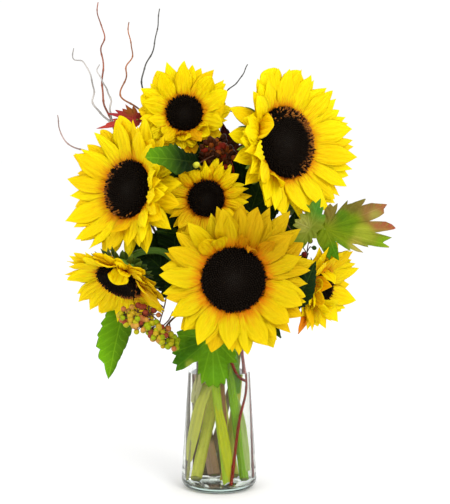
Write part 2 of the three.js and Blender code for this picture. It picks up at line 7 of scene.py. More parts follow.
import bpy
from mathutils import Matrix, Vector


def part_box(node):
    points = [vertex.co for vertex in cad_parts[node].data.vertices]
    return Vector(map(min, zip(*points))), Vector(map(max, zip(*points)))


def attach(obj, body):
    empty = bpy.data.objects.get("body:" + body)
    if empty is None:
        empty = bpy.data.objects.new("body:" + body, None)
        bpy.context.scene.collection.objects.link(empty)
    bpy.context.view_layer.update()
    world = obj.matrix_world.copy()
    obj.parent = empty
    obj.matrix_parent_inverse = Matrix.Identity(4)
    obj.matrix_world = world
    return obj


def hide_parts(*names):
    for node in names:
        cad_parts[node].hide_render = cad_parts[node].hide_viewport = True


bl_info = {
    "name": "Sunflowers in a Vase",
    "version": (1, 0, 0),
    "blender": (4, 5, 0),
    "location": "3D View > Sidebar > Sunflowers",
    "description": "Dresses a model of a sunflower bouquet with petals, florets, leaves, glass and water",
    "category": "Object",
}

import bpy
import numpy as np
from mathutils import Vector

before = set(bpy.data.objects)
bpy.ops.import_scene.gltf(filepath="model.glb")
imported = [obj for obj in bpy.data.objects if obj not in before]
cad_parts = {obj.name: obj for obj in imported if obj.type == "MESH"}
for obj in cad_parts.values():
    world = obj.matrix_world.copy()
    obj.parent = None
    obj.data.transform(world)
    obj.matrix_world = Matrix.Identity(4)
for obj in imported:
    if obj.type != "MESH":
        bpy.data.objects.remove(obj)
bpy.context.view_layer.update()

MM = 0.001
GOLDEN_ANGLE = 2.39996
TURN = 6.28  # a whole wave, for the draws of its phase

# ---- Sizes and places, the same as in the solid model --------------------

# The vase: its top, its widest and narrowest radius, its floor, and the rounds of its foot and inside.
# The stems stand clear of its floor. A ring holds the petals beyond the disc, and the calyx reaches from
# its front to its back behind the head's centre.
VASE_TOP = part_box("vase")[1].z / MM
VASE_BASE_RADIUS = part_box("vase")[1].x / MM
VASE_NECK_RADIUS = 29.2
VASE_FLOOR = 6
FOOT_ROUND = 9
INNER_ROUND = 6
WATER_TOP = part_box("water")[1].z / MM
CLEARANCE = 0.3
RING_WIDTH = 3.5
CALYX_FRONT = 7.3
CALYX_BACK = 24

# The stage, in metres. The focal length and the height of the picture are in its pixels, and the
# sensor's width in millimetres. A lamp has a place, a size and the setting for its power.
CAMERA_PLACE, CAMERA_TARGET = (0.006, -1.3, 0.35), (0.006, 0, 0.2385)
FOCAL_PIXELS, PICTURE_PIXELS, SENSOR = 1303, 504, 36
FLOOR_SIZE = 40
LAMP_TARGET = (0, 0, 0.25)
LAMPS = {
    "key_light": ((0.9, -1.5, 1.3), 0.9, "key"),
    "fill_light": ((-1.3, -1.2, 0.7), 1.2, "fill"),
}

# How finely the larger surfaces are cut: rows along a blade, and steps across its upper side. For a
# lobed leaf and a berry they are rings, and the sides of each.
PETAL_GRID = (24, 17)
BRACT_GRID = (10, 7)
TORN_GRID = (48, 21)
LEAF_GRID = (96, 25)
LOBED_GRID = (26, 360)
TURNED_SIDES = 160
CALYX_SIDES = 48
DISC_SIDES = 72
RING_SIDES = 64
STALK_SIDES = 36
BERRY_GRID = (9, 14)

# Thicknesses of the blades
PETAL_THICKNESS = 0.45
BRACT_THICKNESS = 0.5
TORN_THICKNESS = 0.9
LEAF_THICKNESS = 0.5
LEAF_STALK = 1.9

# Veins of the leaves: how far apart they leave the midrib, and how far they run forward for each
# millimetre across
TOOTHED_VEINS = (8.5, 0.85)
LOBED_VEINS = (7.0, 0.8)
TEETH = 11

# The florets: how far apart they stand on a large and on a small disc, and the disc that is large
FLORET_SPACING = (2.05, 1.75)
LARGE_DISC = 25
FLORET_SIDES = 5

# The rows of bracts, from the front: count, depth behind the head, reach, width and rise
BRACT_ROWS = [(16, -9.5, 11, 4.4, 0.1), (14, -12.5, 12, 5.0, -0.2), (11, -16.0, 11, 5.2, -0.6)]

# How far the water stands into the glass, so that it wets it, and the rows beside a turned corner
WETTING = 0.15
BESIDE_CORNER = 0.3


def light(red, green, blue):
    """A screen colour as linear light."""
    share = np.array([red, green, blue]) / 255
    return np.where(share <= 0.04045, share / 12.92, ((share + 0.055) / 1.055) ** 2.4)


def blade(points, width, face, **more):
    """A row of the tables of leaves: points from its root to its tip, width, and the way it faces."""
    return dict(points=points, width=width, face=face, **more)


def cluster(node, berries, spread, green=1, colour=None):
    """A row of the tables of berries."""
    return dict(node=np.array(node, float), berries=berries, spread=spread, green=green, colour=colour)


# A head faces the front turned right by `turn` degrees and up by `tilt`. `disc` is its disc's radius,
# of which the florets fill the share `shown`. Its `rays` petals have the mean length `ray`, longer by
# the share `bias` toward `toward` degrees round the head, and the upper ones rise by `cup` degrees.
# Petals near `near` degrees stand up by that many degrees more. `radius`, `foot`, `neck` and `bends`
# are those of the stem. `rust` is where round the rim the florets have pale tips, and how many have.
# `warm` is how golden the petals are, and it also widens the orange at their root and deepens the
# painted shade in their creases. `ragged` is how unlike each other they are, and `dim` darkens all the
# petals as painted shade. `dusk` is the side that is in the shade and how much of it, painted darker
# and more orange, and `shade` darkens the bracts as painted shade. `extra` petals are degrees round
# the head, slope and curl out of the head's plane, length, width and twist, and for some how rusty
# they are and how pointed, where 1 is as the others and less is blunter.
HEADS = {
    "sunflower_top": dict(
        centre=(-34, -5, 377), turn=0, tilt=15, disc=19, rays=20, ray=26, ray_width=17, bias=0.3,
        toward=75, cup=26, radius=4, foot=(10, 10), neck=(-7, 9), bends=[(-13, 14, 225), (-28, 24, 312)],
        shown=0.9, near=(-80, 30), rust=(20, 0.02), warm=0.12, ragged=0.95,
        extra=[(2, 8, 66, 27, 17, 20, 0, 0.45), (-72, -6, 10, 23, 13, 20, 0.45),
               (-50, 0, -6, 24, 14, -15, 0.2), (-118, -4, 4, 23, 14, 10, 0.2),
               (210, -6, 4, 30, 19, 10, 0, 0.7), (228, -4, -6, 29, 18, -10, 0, 0.7),
               (246, 0, 4, 25, 16, 12, 0.1), (-86, -6, 4, 24, 14, 12, 0.3), (128, 4, 6, 30, 21, 6, 0, 0.7),
               (158, 6, 2, 26, 19, -6, 0, 0.7), (-40, 44, 96, 22, 12, 24), (-66, 60, 20, 24, 13, -20, 0.5),
               (-98, 52, 100, 20, 12, -25, 0.4), (-120, 50, 30, 22, 12, 16, 0.15)],
    ),
    "sunflower_top_right": dict(
        centre=(67, -25, 348), turn=40, tilt=8, disc=37, rays=28, ray=37, ray_width=21, bias=0.12,
        toward=-40, cup=24, radius=4.6, foot=(-20, -10), neck=(8, 3), bends=[(16, 6, 210), (34, 8, 290)],
        shown=0.92, near=(178, 46), rust=(30, 0.8), warm=0.08, ragged=0.45,
        extra=[(160, 66, 104, 20, 24, 4, 0.08, 0.5), (236, 44, 70, 28, 14, 26),
               (104, 12, 8, 35, 31, -4, 0, 0.42), (76, 12, 6, 35, 27, 5, 0, 0.5), (172, -14, -4, 31, 17, 8),
               (194, -10, -12, 29, 19, -8), (150, -6, -16, 34, 18, 12), (214, -8, 0, 31, 18, -12),
               (-27, 11, 7, 43, 20, -6), (-42, 11, 7, 42, 20, 4), (-5, 11, 7, 46, 18, 5),
               (16, 11, 7, 43, 20, -4), (31, 11, 7, 41, 19, 5)],
    ),
    "sunflower_left": dict(
        centre=(-89, -42, 303), turn=-38, tilt=9, disc=30, rays=26, ray=36, ray_width=20, bias=0.12,
        toward=190, cup=24, radius=4, foot=(-3, 13), neck=(-20, -6), bends=[(-30, -6, 190), (-56, -10, 255)],
        shown=0.9, near=(5, 52), rust=(190, 0.55), warm=0.2, ragged=0.5,
        extra=[(-80, 40, 74, 27, 15, 10, 0.3), (-34, -8, -14, 34, 20, 14), (-12, -14, -10, 32, 21, -10),
               (8, -12, -6, 32, 19, 12), (30, -10, -14, 33, 19, -14), (-58, 2, 0, 38, 19, 8),
               (52, 0, -8, 34, 18, 10), (74, 8, 4, 39, 21, 6, 0, 0.7), (99, 6, 8, 41, 21, -6, 0, 0.75),
               (126, 4, 6, 38, 20, 6, 0, 0.7), (152, 2, 0, 35, 19, 0, 0, 0.7)],
    ),
    "sunflower_front": dict(
        centre=(14, -88, 220), turn=0, tilt=6, disc=30.5, rays=26, ray=39, ray_width=21, bias=0.05,
        toward=0, cup=21, radius=4, foot=(22, -10), neck=(6.5, -20), bends=[(7, -24, 168), (9, -37, 204)],
        shown=0.955, near=(90, 16), rust=(-90, 0.0), warm=0.42, ragged=0.5, dim=0.88, dusk=(58, 0.5),
        extra=[(112, 46, 86, 24, 19, -10), (128, 40, 70, 26, 18, 8), (58, 46, 150, 20, 12, 25, 0.4),
               (76, 48, 84, 25, 12, 34, 0.2), (96, 30, 44, 34, 15, 20), (45, 34, 60, 31, 14, -30, 0.25),
               (50, 4, 8, 51, 21, 8), (38, 2, 10, 47, 20, 10), (62, 8, 4, 44, 17, -12),
               (13, 4, 0, 46, 19, -8)],
    ),
    "sunflower_middle": dict(
        centre=(-12, -45, 294), turn=0, tilt=2, disc=17.5, rays=28, ray=23, ray_width=10.5, bias=0.12,
        toward=-80, cup=22, radius=3.5, foot=(6, -8), neck=(-1, -10), bends=[(-4, -12, 210)],
        shown=0.95, near=(90, 20), rust=(90, 0.0), warm=0.3, ragged=0.9, dim=1.0, dusk=(-90, 0.2), extra=[],
    ),
    "sunflower_lower_left": dict(
        centre=(-95, -65, 215), turn=-36, tilt=-47, disc=23, rays=24, ray=29, ray_width=16.5, bias=0.22,
        toward=-150, cup=18, radius=4, foot=(8, -22), neck=(-8, -20),
        bends=[(-24, -24, 196), (-52, -32, 240)],
        shown=0.95, near=(80, 20), rust=(-110, 0.6), warm=0.12, ragged=0.6, dusk=(-15, 0.45), shade=0.35,
        extra=[(52, 86, 100, 13, 17, 6, 0, 0.5), (8, 46, 24, 27, 9, 20), (-14, 40, 16, 29, 9, -16),
               (-152, 24, 26, 36, 18, 6), (-140, 22, 22, 34, 17, -6), (-166, 17, 14, 35, 17, 5),
               (-126, 14, 8, 30, 17, 4)],
    ),
    "sunflower_lower_right": dict(
        centre=(101, -28, 205), turn=51, tilt=-12, disc=17, rays=20, ray=28, ray_width=17.5, bias=0.12,
        toward=50, cup=24, radius=3.5, foot=(4, 1), neck=(20, -6), bends=[(38, -6, 184)],
        shown=0.95, near=(180, 56), rust=(0, 0.2), warm=0.16, ragged=0.55,
        extra=[(158, 72, 84, 24, 16, 0, 0.35), (186, 66, 70, 25, 17, 8, 0.3), (214, 74, 84, 26, 16, 0),
               (244, 60, 76, 26, 16, 15), (104, 100, 124, 19, 16, 8), (272, 102, 122, 24, 17, -8),
               (300, 96, 124, 17, 14, 10), (238, 100, 124, 27, 19, 0, 0, 0.8),
               (232, 20, 4, 36, 20, 24, 0.8, 0.5), (222, 30, 44, 32, 17, -20, 0.3, 0.6)],
    ),
}

# Toothed leaves of the sunflower stems, from inside the stem. `share` is the part that is leaf stalk. An
# `outline` gives the half width on each side at shares of the blade. `bright` is how light the green is,
# and its low values are painted shade on the leaves deep in the bouquet. `tip` is how much lighter the
# far half is, as painted light. On one side `ragged` deepens the teeth, and `uneven` lightens the
# green of one half and darkens the other as painted light and shade.
STEM_LEAVES = {
    "sunflower_top": [
        blade([(-20, 18, 262), (-24, 42, 292), (-20, 52, 330)], 34, (0, -1, 0.5)),
        blade([(-13, 14, 222), (-14, 36, 240), (-14, 60, 230)], 32, (0, 0.5, 1)),
    ],
    "sunflower_top_right": [
        blade([(25, 7, 250), (32, -14, 280), (43, -26, 317)], 32, (0, -1, 0.3), bright=0.05),
        blade([(30, 8, 272), (56, 34, 288), (84, 44, 268)], 40, (0, 0.5, 1)),
        blade([(34, 8, 290), (44, -4, 288), (36, -16, 256)], 36, (0, -1, 0.1), bright=0.03),
        blade([(30, 8, 278), (18, -4, 304), (-6, -14, 346)], 34, (0, -1, 0.1), bright=0.03),
        blade([(32, 8, 284), (30, -2, 312), (22, -8, 344)], 30, (0, -1, 0.2), bright=0.1),
        blade([(28, 8, 266), (10, 2, 282), (-18, -6, 290)], 38, (0, -1, 0.2), bright=0.02),
    ],
    "sunflower_left": [
        blade([(-30, -6, 190), (-72, 2, 212), (-94, -13, 180), (-108, -42, 117)], 45, (-0.2, -1, 0.3),
              share=0.42, bright=1.0, ragged=0.1, uneven=0.42,
              outline=[(0, 2, 2), (0.2, 10, 8), (0.42, 17, 12), (0.5, 17, 14.5), (0.6, 20, 14.5),
                       (0.7, 20, 12.5), (0.78, 18.5, 9.5), (0.84, 15.5, 7.5), (0.87, 9, 6.5), (0.93, 5, 4.5),
                       (1, 0.6, 0.6)]),
        blade([(-41, -8, 220), (-60, -14, 243), (-88, -18, 248)], 32, (0, -1, 0.4), bright=0.06),
        blade([(-34, -7, 203), (-46, -20, 212), (-64, -28, 232), (-86, -30, 246)], 38, (0, -1, 0.3),
              bright=0.03),
        blade([(-44, -9, 228), (-44, -20, 254), (-56, -30, 292)], 36, (0, -1, 0.3), bright=0.04),
        blade([(-40, -8, 216), (-36, -14, 256), (-43, -17, 302)], 31, (0, -1, 0.1), bright=0.02),
        blade([(-48, -9, 236), (-70, 4, 230), (-94, 24, 214)], 36, (0, 0.5, 1)),
    ],
    "sunflower_front": [],
    "sunflower_middle": [
        blade([(-11, -12, 282), (-13, -19, 320), (-34, -70, 331), (-68, -97, 334.5)], 29, (0, -1, 0.25),
              share=0.36, bright=0.0, tip=0.95, ragged=0.06,
              outline=[(0, 3, 3), (0.08, 8.5, 7), (0.22, 9.5, 9), (0.43, 9, 11), (0.51, 11, 12.5),
                       (0.6, 15.5, 16.5), (0.66, 15, 15), (0.72, 12.5, 10), (0.79, 11.5, 7), (0.93, 9, 5.5),
                       (1, 1.5, 1.5)]),
        blade([(-11, -12, 282), (-17, -9, 314), (-20, -10, 359)], 34, (0, -1, 0.1), bright=0.02),
        blade([(-9, -12, 268), (-30, -15, 300), (-57, -24, 329)], 36, (0, -1, 0.2), bright=0.03),
        blade([(-6, -12, 232), (-28, -22, 254), (-62, -30, 262)], 19, (0, -1, 0.6)),
    ],
    "sunflower_lower_left": [
        blade([(-24, -24, 196), (-40, -38, 207), (-57, -50, 199)], 22, (0, -1, 0.3), bright=0.05),
    ],
    "sunflower_lower_right": [
        blade([(44, -6.4, 190), (60, -44, 192), (78, -70, 205), (92, -73, 236)], 24, (0, -1, 0.1),
              share=0.45, bright=0.03),
        blade([(46, -6.2, 191), (62, -14, 228), (71, -20, 258), (76, -23, 282)], 28, (0, -1, 0.1),
              bright=0.03),
        blade([(44, -6.4, 190), (62, -22, 212), (88, -30, 240)], 33, (-0.3, -1, 0.2), bright=0.05),
        blade([(40, -6.2, 186), (62, -24, 198), (84, -40, 196)], 30, (0, -1, 0.4), bright=0.04),
        blade([(28, -6, 168), (42, -24, 177), (61, -40, 158)], 21, (0, -1, 0.7)),
        blade([(46, -6.2, 191), (66, 24, 198), (92, 36, 180)], 38, (0, 0.5, 1)),
    ],
}

# Cut twigs: radius at the foot and at the far end, the places of the foot and of the neck across and
# deep, and the bends above the neck. `wet` points lie under water, `net` and `stubs` are side twigs,
# and `berry` is the radius of its berries. `bark` is its colour, and `soaked_and_lit` that under water,
# which is partly its own paler colour and partly painted light.
VIBURNUM_BRANCH = dict(
    radius=2.8, tip_radius=1.1, foot=(-9, 23), neck=(17, 10), bark=light(150, 118, 98),
    bends=[(50, 9, 206), (80, -10, 246), (92, -28, 262)],
)
RED_LEAF_STEM = dict(
    radius=1.8, tip_radius=1, foot=(-17, 8), neck=(-16, 12), bark=light(140, 60, 36),
    bends=[(-38, 16, 240), (-60, 17, 322), (-72, 13, 372)],
)
BERRY_STEM = dict(
    radius=1.6, tip_radius=0.9, foot=(11, -28), neck=(21, -12), berry=2.9, bark=light(206, 60, 0),
    wet=[(19, -21, 72), (25, -10.5, 104)],
    stubs=[[(24.5, -11.5, 110), (19, -18, 115), (13, -21.5, 128), (8.5, -23, 141)]],
    bends=[(18, -12, 232), (14, -10, 322), (8, -22, 336), (2, -38, 338)],
)
RIGHT_TWIG = dict(
    radius=1.3, tip_radius=0.8, foot=(26, 4), neck=(24, 2.5), berry=2.6, bark=light(176, 84, 66),
    bends=[(50, -1, 208), (74, -18, 232), (86, -31, 240)],
)
LOWER_SPRAY = dict(
    radius=1.6, tip_radius=0.8, foot=(-27, -6), neck=(-17, -16), berry=3.05, bark=light(120, 84, 66),
    soaked_and_lit=light(226, 226, 130),
    bends=[(-35, -30, 180), (-48, -46, 174), (-60, -59, 163), (-76, -60, 172)],
    net=[
        [(-60, -59, 163), (-56, -58, 178), (-52, -56, 192), (-50, -54, 203)],
        [(-48, -46, 174), (-46, -50, 164), (-41, -54, 156)],
        [(-57, -58, 176), (-66, -58, 184), (-74, -57, 191)],
        [(-66, -60, 167), (-68, -58, 182), (-66, -56, 197)],
        [(-53, -56, 190), (-60, -56, 196), (-62, -55, 204)],
        [(-56, -58, 170), (-48, -58, 178), (-44, -56, 186)],
    ],
)

# Lobed leaves. `edge` goes round the leaf: degrees about the end of the stalk, and the distance to a
# tooth's tip or a notch, times `size`. `lobes` are the directions of the main veins. `height` lifts the
# leaf out of its plane by that share of the distance squared over 30.
LOBED_LEAVES = {
    "overhang_leaf": dict(
        stalk=[(6.8, -22, 160), (2, -34, 168), (-6, -40, 158)], face=(0, -1, 0.15), height=-0.12,
        edge=[(150, 14), (160, 26), (171, 36), (178, 34), (186, 40), (192, 37), (201, 43), (206, 40),
              (212, 47), (217, 44), (222, 49), (227, 42), (232, 31), (238, 27), (243, 31), (248, 39),
              (251, 37), (256, 47), (260, 44), (265, 49), (270, 46), (275.5, 50), (280, 45), (284.5, 48),
              (288, 42), (292, 43), (295, 34), (300, 29), (306, 30), (313, 34), (318, 30), (325, 28),
              (333, 20), (348, 12), (20, 8), (60, 5)],
        lobes=[176, 200, 219, 256, 271, 286, 314],
    ),
    "autumn_leaf": dict(
        stalk=[(92, -28, 262), (97, -34, 264), (103.5, -38, 264)], face=(-0.1, -1, 0.2), height=-0.05,
        size=0.98,
        edge=[(-162, 9), (-125, 14), (-102, 19), (-96, 22), (-91, 24), (-82, 31), (-77, 27), (-72, 30),
              (-66, 34), (-60, 25), (-50, 16), (-45, 24), (-41, 33), (-38, 31), (-35, 38), (-31, 44),
              (-28, 30), (-25, 34), (-22, 46), (-19.5, 44), (-17.5, 55), (-14.5, 67), (-12, 58),
              (-10.5, 59), (-6, 66), (-3, 49), (-1, 57), (1.5, 70), (5, 66), (8, 60), (11, 44), (13.5, 54),
              (16, 60), (20, 61), (23, 66), (27, 58), (31, 52), (34, 43), (36, 47), (38.5, 51), (42, 44),
              (46, 37), (50, 33), (54, 37), (58, 18), (61, 23), (66, 29), (72, 24), (80, 26), (90, 21),
              (98, 15), (113, 10), (150, 6), (180, 6)],
        lobes=[-68, -33, -13, 1, 22, 42, 66],
    ),
    "pale_leaf": dict(
        stalk=[(90, -25, 259), (89, -34, 262), (88, -42, 265)], face=(-0.1, -1, 0.1), height=0.03,
        edge=[(-135, 22), (-127, 31), (-122, 27), (-118, 33), (-110, 21), (-98, 13), (-85, 15), (-74, 10),
              (-50, 12), (-38, 8), (-10, 9), (5, 14), (14, 12), (30, 17), (42, 20), (50, 18), (58, 25),
              (64, 22), (70, 31), (77, 25), (84, 27), (92, 22), (100, 24), (108, 15), (124, 17), (134, 12),
              (150, 17), (160, 15), (170, 17), (182, 11), (200, 14), (206, 12), (216, 19)],
        lobes=[-121, 46, 72, 100, 155],
    ),
    "red_leaf": dict(
        stalk=[(-72, 13, 372), (-76, 8, 373), (-82, 4, 370)], face=(0, -1, 0.3), height=-0.06, size=1.12,
        edge=[(-60, 5), (-40, 4), (-20, 6), (-4, 12), (10, 9), (24, 8), (37, 11), (55, 7), (82, 7),
              (98, 12), (104, 14), (112, 11), (120, 14), (125, 18), (132, 13), (140, 17), (146, 15),
              (153, 22), (158, 18), (165, 28), (169, 19), (173, 15), (177, 22), (182, 20), (186, 27),
              (189, 28), (192, 37), (195, 29), (199, 20), (205, 17), (211, 23), (217, 14), (223, 13),
              (229, 19), (236, 12), (244, 13), (250, 9), (275, 6)],
        lobes=[104, 125, 165, 192, 211, 229, 357],
    ),
    "burgundy_leaf": dict(
        stalk=[(14, -10, 322), (13, -6, 328), (13, -4, 334)], face=(0, -1, 0.1), height=0.02,
        edge=[(20, 14), (32, 18), (38, 14), (46, 17), (58, 13), (66, 17), (76, 15), (88, 22), (93, 20),
              (97, 26), (101, 28), (107, 37), (112, 28), (116, 27), (121, 20), (134, 17), (150, 11),
              (180, 7), (230, 5), (290, 5), (340, 8), (0, 11)],
        lobes=[32, 70, 106],
    ),
}

# Clusters of berries: the node of the twig, how many berries leave it, how far they reach, and how
# `green` they are (1 for an even mix), or the one `colour` of them all
LOWER_BERRIES = [
    cluster((-83, -60, 179), 11, 10, green=0.6),
    cluster((-64, -60, 170), 13, 11),
    cluster((-50, -57, 157), 12, 10, green=1.9),
    cluster((-74, -62, 174), 9, 9, green=0.7),
    cluster((-57, -59, 163), 9, 9, green=1.4),
    cluster((-66, -56, 184), 6, 9, green=0.4),
    cluster((-90, -59, 183), 8, 8, green=0.6),
    cluster((-56, -60, 167), 8, 8),
    cluster((-44, -55, 156), 6, 6, green=2.2),
    cluster((-78, -60, 186), 6, 8, green=0.3),
]
CENTRE_BERRIES = [
    cluster((-6, -41, 342), 19, 11),
    cluster((7, -39, 337), 17, 10),
    cluster((-10, -38, 333), 12, 9),
    cluster((3, -38, 329), 13, 9),
    cluster((2, -34, 346), 9, 9),
    cluster((-18.5, -61, 328.4), 1, 4, colour=light(196, 198, 58)),
]
RIGHT_BERRIES = [
    cluster((82.3, -39, 241.6), 1, 4, green=0.02),
    cluster((88.9, -37, 246.9), 1, 4, green=50),
    cluster((87.1, -37, 250.4), 1, 4, green=0.02),
    cluster((64.4, -43.7, 271.0), 1, 4, green=0.02),
]

# Willow stems, the twigs that leave their upper ends, and the twigs' colours
WILLOW = {
    "willow_left": dict(
        radius=1.6, foot=(-22, 10), neck=(-22, 5), bends=[(-52, 18, 232), (-92, 20, 312), (-107, 14, 368)],
        twigs=[
            [(-107, 14, 368), (-115, 14, 386), (-117, 15, 402), (-116, 15, 430), (-118, 14, 442),
             (-114, 14, 453), (-121, 12, 475), (-120, 12, 486.8)],
            [(-106, 14, 366), (-120, 17, 378), (-127, 19, 388), (-126, 20, 400), (-130, 20, 417),
             (-137, 20, 429), (-146, 20, 431), (-146, 20, 442)],
            [(-106, 14, 366), (-109, 10, 378), (-108, 8, 390), (-115, 6, 407), (-121, 6, 419),
             (-119, 6, 425)],
            [(-93, 20, 314), (-112, 16, 332), (-131, 10, 339), (-145, 6, 343), (-155, 5, 351),
             (-159, 5, 362), (-161, 5, 375)],
        ],
        colours=["reddish", "pale", "pale", "pinkish"],
    ),
    "willow_middle": dict(
        radius=1.4, foot=(-13, 21), neck=(-12, 19), bends=[(-34, 26, 240), (-56, 28, 322), (-73, 23, 374)],
        twigs=[
            [(-73, 23, 374), (-84, 20, 384), (-99, 20, 394), (-93, 20, 415), (-93, 20, 424),
             (-87, 20, 434), (-88, 20, 446), (-91, 20, 458), (-90, 20, 468)],
            [(-73, 23, 374), (-75, 24, 391), (-78, 26, 408), (-75, 27, 424), (-68, 28, 437),
             (-62, 28, 464), (-60, 28, 482)],
        ],
        colours=["rusty", "grey"],
    ),
    "willow_right": dict(
        radius=1.2, foot=(0, 25), neck=(-2, 23.5), bends=[(2, 26, 260), (2, 21, 364)],
        twigs=[
            [(2, 21, 364), (2, 19, 387), (7, 20, 398), (20, 20, 410), (29, 20, 426)],
            [(2, 21, 362), (-4, 17, 373), (3, 16, 379), (12, 14, 379), (21, 12, 374), (24, 11, 369)],
        ],
        colours=["grey", "pale"],
    ),
}

# ---- Colours, as seen on a screen, 0 to 255 ------------------------------

LEMON = light(255, 240, 0)
GOLD = light(250, 206, 0)
# The petals' own orange at the root and where they rust, and also the colour of their painted shade
PETAL_ORANGE_AND_SHADE = light(232, 118, 0)
FLORET_DARK = light(20, 12, 5)
FLORET_GREY = light(34, 30, 25)
FLORET_RUST = light(116, 58, 26)
FLORET_TAN = light(176, 114, 46)
LEAF_GREEN = light(100, 152, 8)
# The leaves' green in painted shade, deep in the bouquet
LEAF_SHADED = light(10, 36, 5)
LEAF_PALE = light(172, 198, 66)
CALYX_GREEN = light(92, 122, 30)
STEM_GREEN = light(78, 112, 28)
STEM_LIME = light(222, 255, 56)
# Under water the stems and the wood are paler and brighter: partly their own colour and partly painted
# light, for the light that reaches them through the glass and water
STEM_WET_AND_LIT = light(252, 255, 104)
WET_WOOD_AND_LIT = light(214, 204, 176)
STALKLET = light(84, 50, 28)
CUT_END = light(226, 228, 150)
WILLOW_BARK = light(104, 78, 50)
LENTICEL = light(205, 180, 150)
# Each stem's colour under water, partly its own and partly painted light
WET_STEMS_AND_LIT = {
    "sunflower_left": light(255, 212, 196),
    "sunflower_lower_left": STEM_LIME,
    "sunflower_middle": light(214, 150, 96),
    "sunflower_front": light(174, 234, 30),
}

# Torn leaf bases left on the stems under water. Their colours are partly their own and partly painted light,
# for the light that reaches them through the glass and water.
WET_BLADES = {
    "sunflower_top_right": [
        blade([(-1, -4, 116), (-9, -12, 106), (-16, -15.5, 90), (-21.5, -13, 64), (-25, -9, 42),
               (-26, -8, 28)], 12.5, (-0.55, -0.85, 0), colour=light(255, 255, 112)),
        blade([(-15, -16.5, 122), (-19.5, -14.5, 106), (-23.5, -10.5, 88)], 10, (-0.6, -0.8, 0),
              colour=light(250, 244, 170)),
    ],
    "sunflower_lower_left": [
        blade([(-2, -23, 92), (3, -26, 66), (8, -26.5, 34), (11, -25, 11)], 10, (0.2, -1, 0),
              colour=light(246, 255, 30)),
    ],
    "sunflower_front": [
        blade([(11, -17, 104), (18, -15, 74), (22, -14, 46), (26, -12, 19)], 11, (0.4, -0.9, 0),
              colour=light(226, 255, 140)),
        blade([(7, -20, 162), (11, -18.5, 142), (14, -17, 120), (16, -15.5, 98)], 13, (0.3, -1, 0),
              colour=light(120, 176, 30)),
    ],
}

# Height and size of a bruise on a stem
BRUISES = {"sunflower_left": (57, 10)}
VEINS = {
    "autumn_leaf": light(176, 150, 84),
    "red_leaf": light(214, 96, 70),
    "burgundy_leaf": light(130, 60, 44),
}
ORANGE_BERRIES = np.stack([
    light(150, 170, 20), light(178, 176, 30), light(196, 168, 40), light(198, 150, 64), light(184, 116, 62),
    light(146, 66, 44),
])
DARK_BERRIES = np.stack([
    light(54, 22, 6), light(108, 54, 12), light(40, 16, 4), light(104, 26, 12), light(68, 30, 8),
])
MIXED_BERRIES = np.stack([light(52, 76, 30), light(120, 50, 34), light(92, 22, 18)])
TWIGS = {
    "reddish": light(156, 92, 70),
    "rusty": light(166, 102, 60),
    "grey": light(88, 88, 84),
    "pinkish": light(176, 150, 144),
    "pale": light(188, 184, 180),
}

# ---- Mathematics ---------------------------------------------------------


def unit(vectors):
    """Each vector divided by its length."""
    return vectors / np.maximum(np.linalg.norm(vectors, axis=-1, keepdims=True), 1e-9)


def draw(item, stream):
    """A repeatable draw between 0 and 1: the fraction of a large multiple of a sine."""
    wave = np.sin(np.asarray(item) * 12.9898 + stream * 78.233) * 43758.5453
    return wave - np.floor(wave)


def smooth(value, low, high):
    """0 below low, 1 above high, and a cubic ease between."""
    share = np.clip((value - low) / (high - low), 0, 1)
    return share * share * (3 - 2 * share)


def mixed(first, second, share):
    """Colours between two colours, one for each share."""
    share = np.asarray(share)[..., None]
    return first * (1 - share) + second * share


def bezier(start, middle, end, along):
    """Quadratic curves, many at once: the three points weighed by the square of what is left, twice
    what is left times the share, and the square of the share."""
    t = along[:, None]
    start, middle, end = (np.asarray(p, float)[..., None, :] for p in (start, middle, end))
    return (1 - t) ** 2 * start + 2 * t * (1 - t) * middle + t**2 * end


def through(points, t):
    """A centripetal Catmull-Rom curve through points, at shares t of its spans."""
    points = np.asarray(points, float)
    held = np.vstack([2 * points[0] - points[1], points, 2 * points[-1] - points[-2]])
    spans = len(points) - 1
    place = np.clip(t, 0, 1) * spans
    span = np.minimum(place.astype(int), spans - 1)
    w = (place - span)[:, None]
    p0, p1, p2, p3 = (held[span + i] for i in range(4))
    pairs = (p0, p1), (p1, p2), (p2, p3)
    d0, d1, d2 = (np.maximum(np.linalg.norm(b - a, axis=1)[:, None] ** 0.5, 1e-3) for a, b in pairs)
    leave = ((p1 - p0) / d0 - (p2 - p0) / (d0 + d1) + (p2 - p1) / d1) * d1
    reach = ((p2 - p1) / d1 - (p3 - p1) / (d1 + d2) + (p3 - p2) / d2) * d1
    bow = 3 * (p2 - p1) - 2 * leave - reach
    return p1 + w * leave + w**2 * bow + w**3 * (2 * (p1 - p2) + leave + reach)


def lengths_along(points):
    """How far each point lies along a path."""
    return np.concatenate([[0], np.cumsum(np.linalg.norm(np.diff(points, axis=0), axis=1))])


def evenly(points, spacing):
    """The smooth curve through points, at equal steps of about that spacing."""
    dense = through(points, np.linspace(0, 1, 24 * len(points)))
    lengths = lengths_along(dense)
    steps = np.linspace(0, lengths[-1], max(int(lengths[-1] / spacing), 4) + 1)
    return np.stack([np.interp(steps, lengths, dense[:, axis]) for axis in range(3)], axis=1)


def head_axes(head):
    """The unit vectors of a head: its right, its top and the way it faces."""
    turn, tilt = np.radians(head["turn"]), np.radians(head["tilt"])
    right = np.array([np.cos(turn), np.sin(turn), 0])
    facing = np.array([np.sin(turn) * np.cos(tilt), -np.cos(turn) * np.cos(tilt), np.sin(tilt)])
    return np.stack([right, np.cross(facing, right), facing])


def in_head(head, points):
    """Points given in a head's own frame, placed on the head."""
    return points @ head_axes(head) + np.array(head["centre"], float)


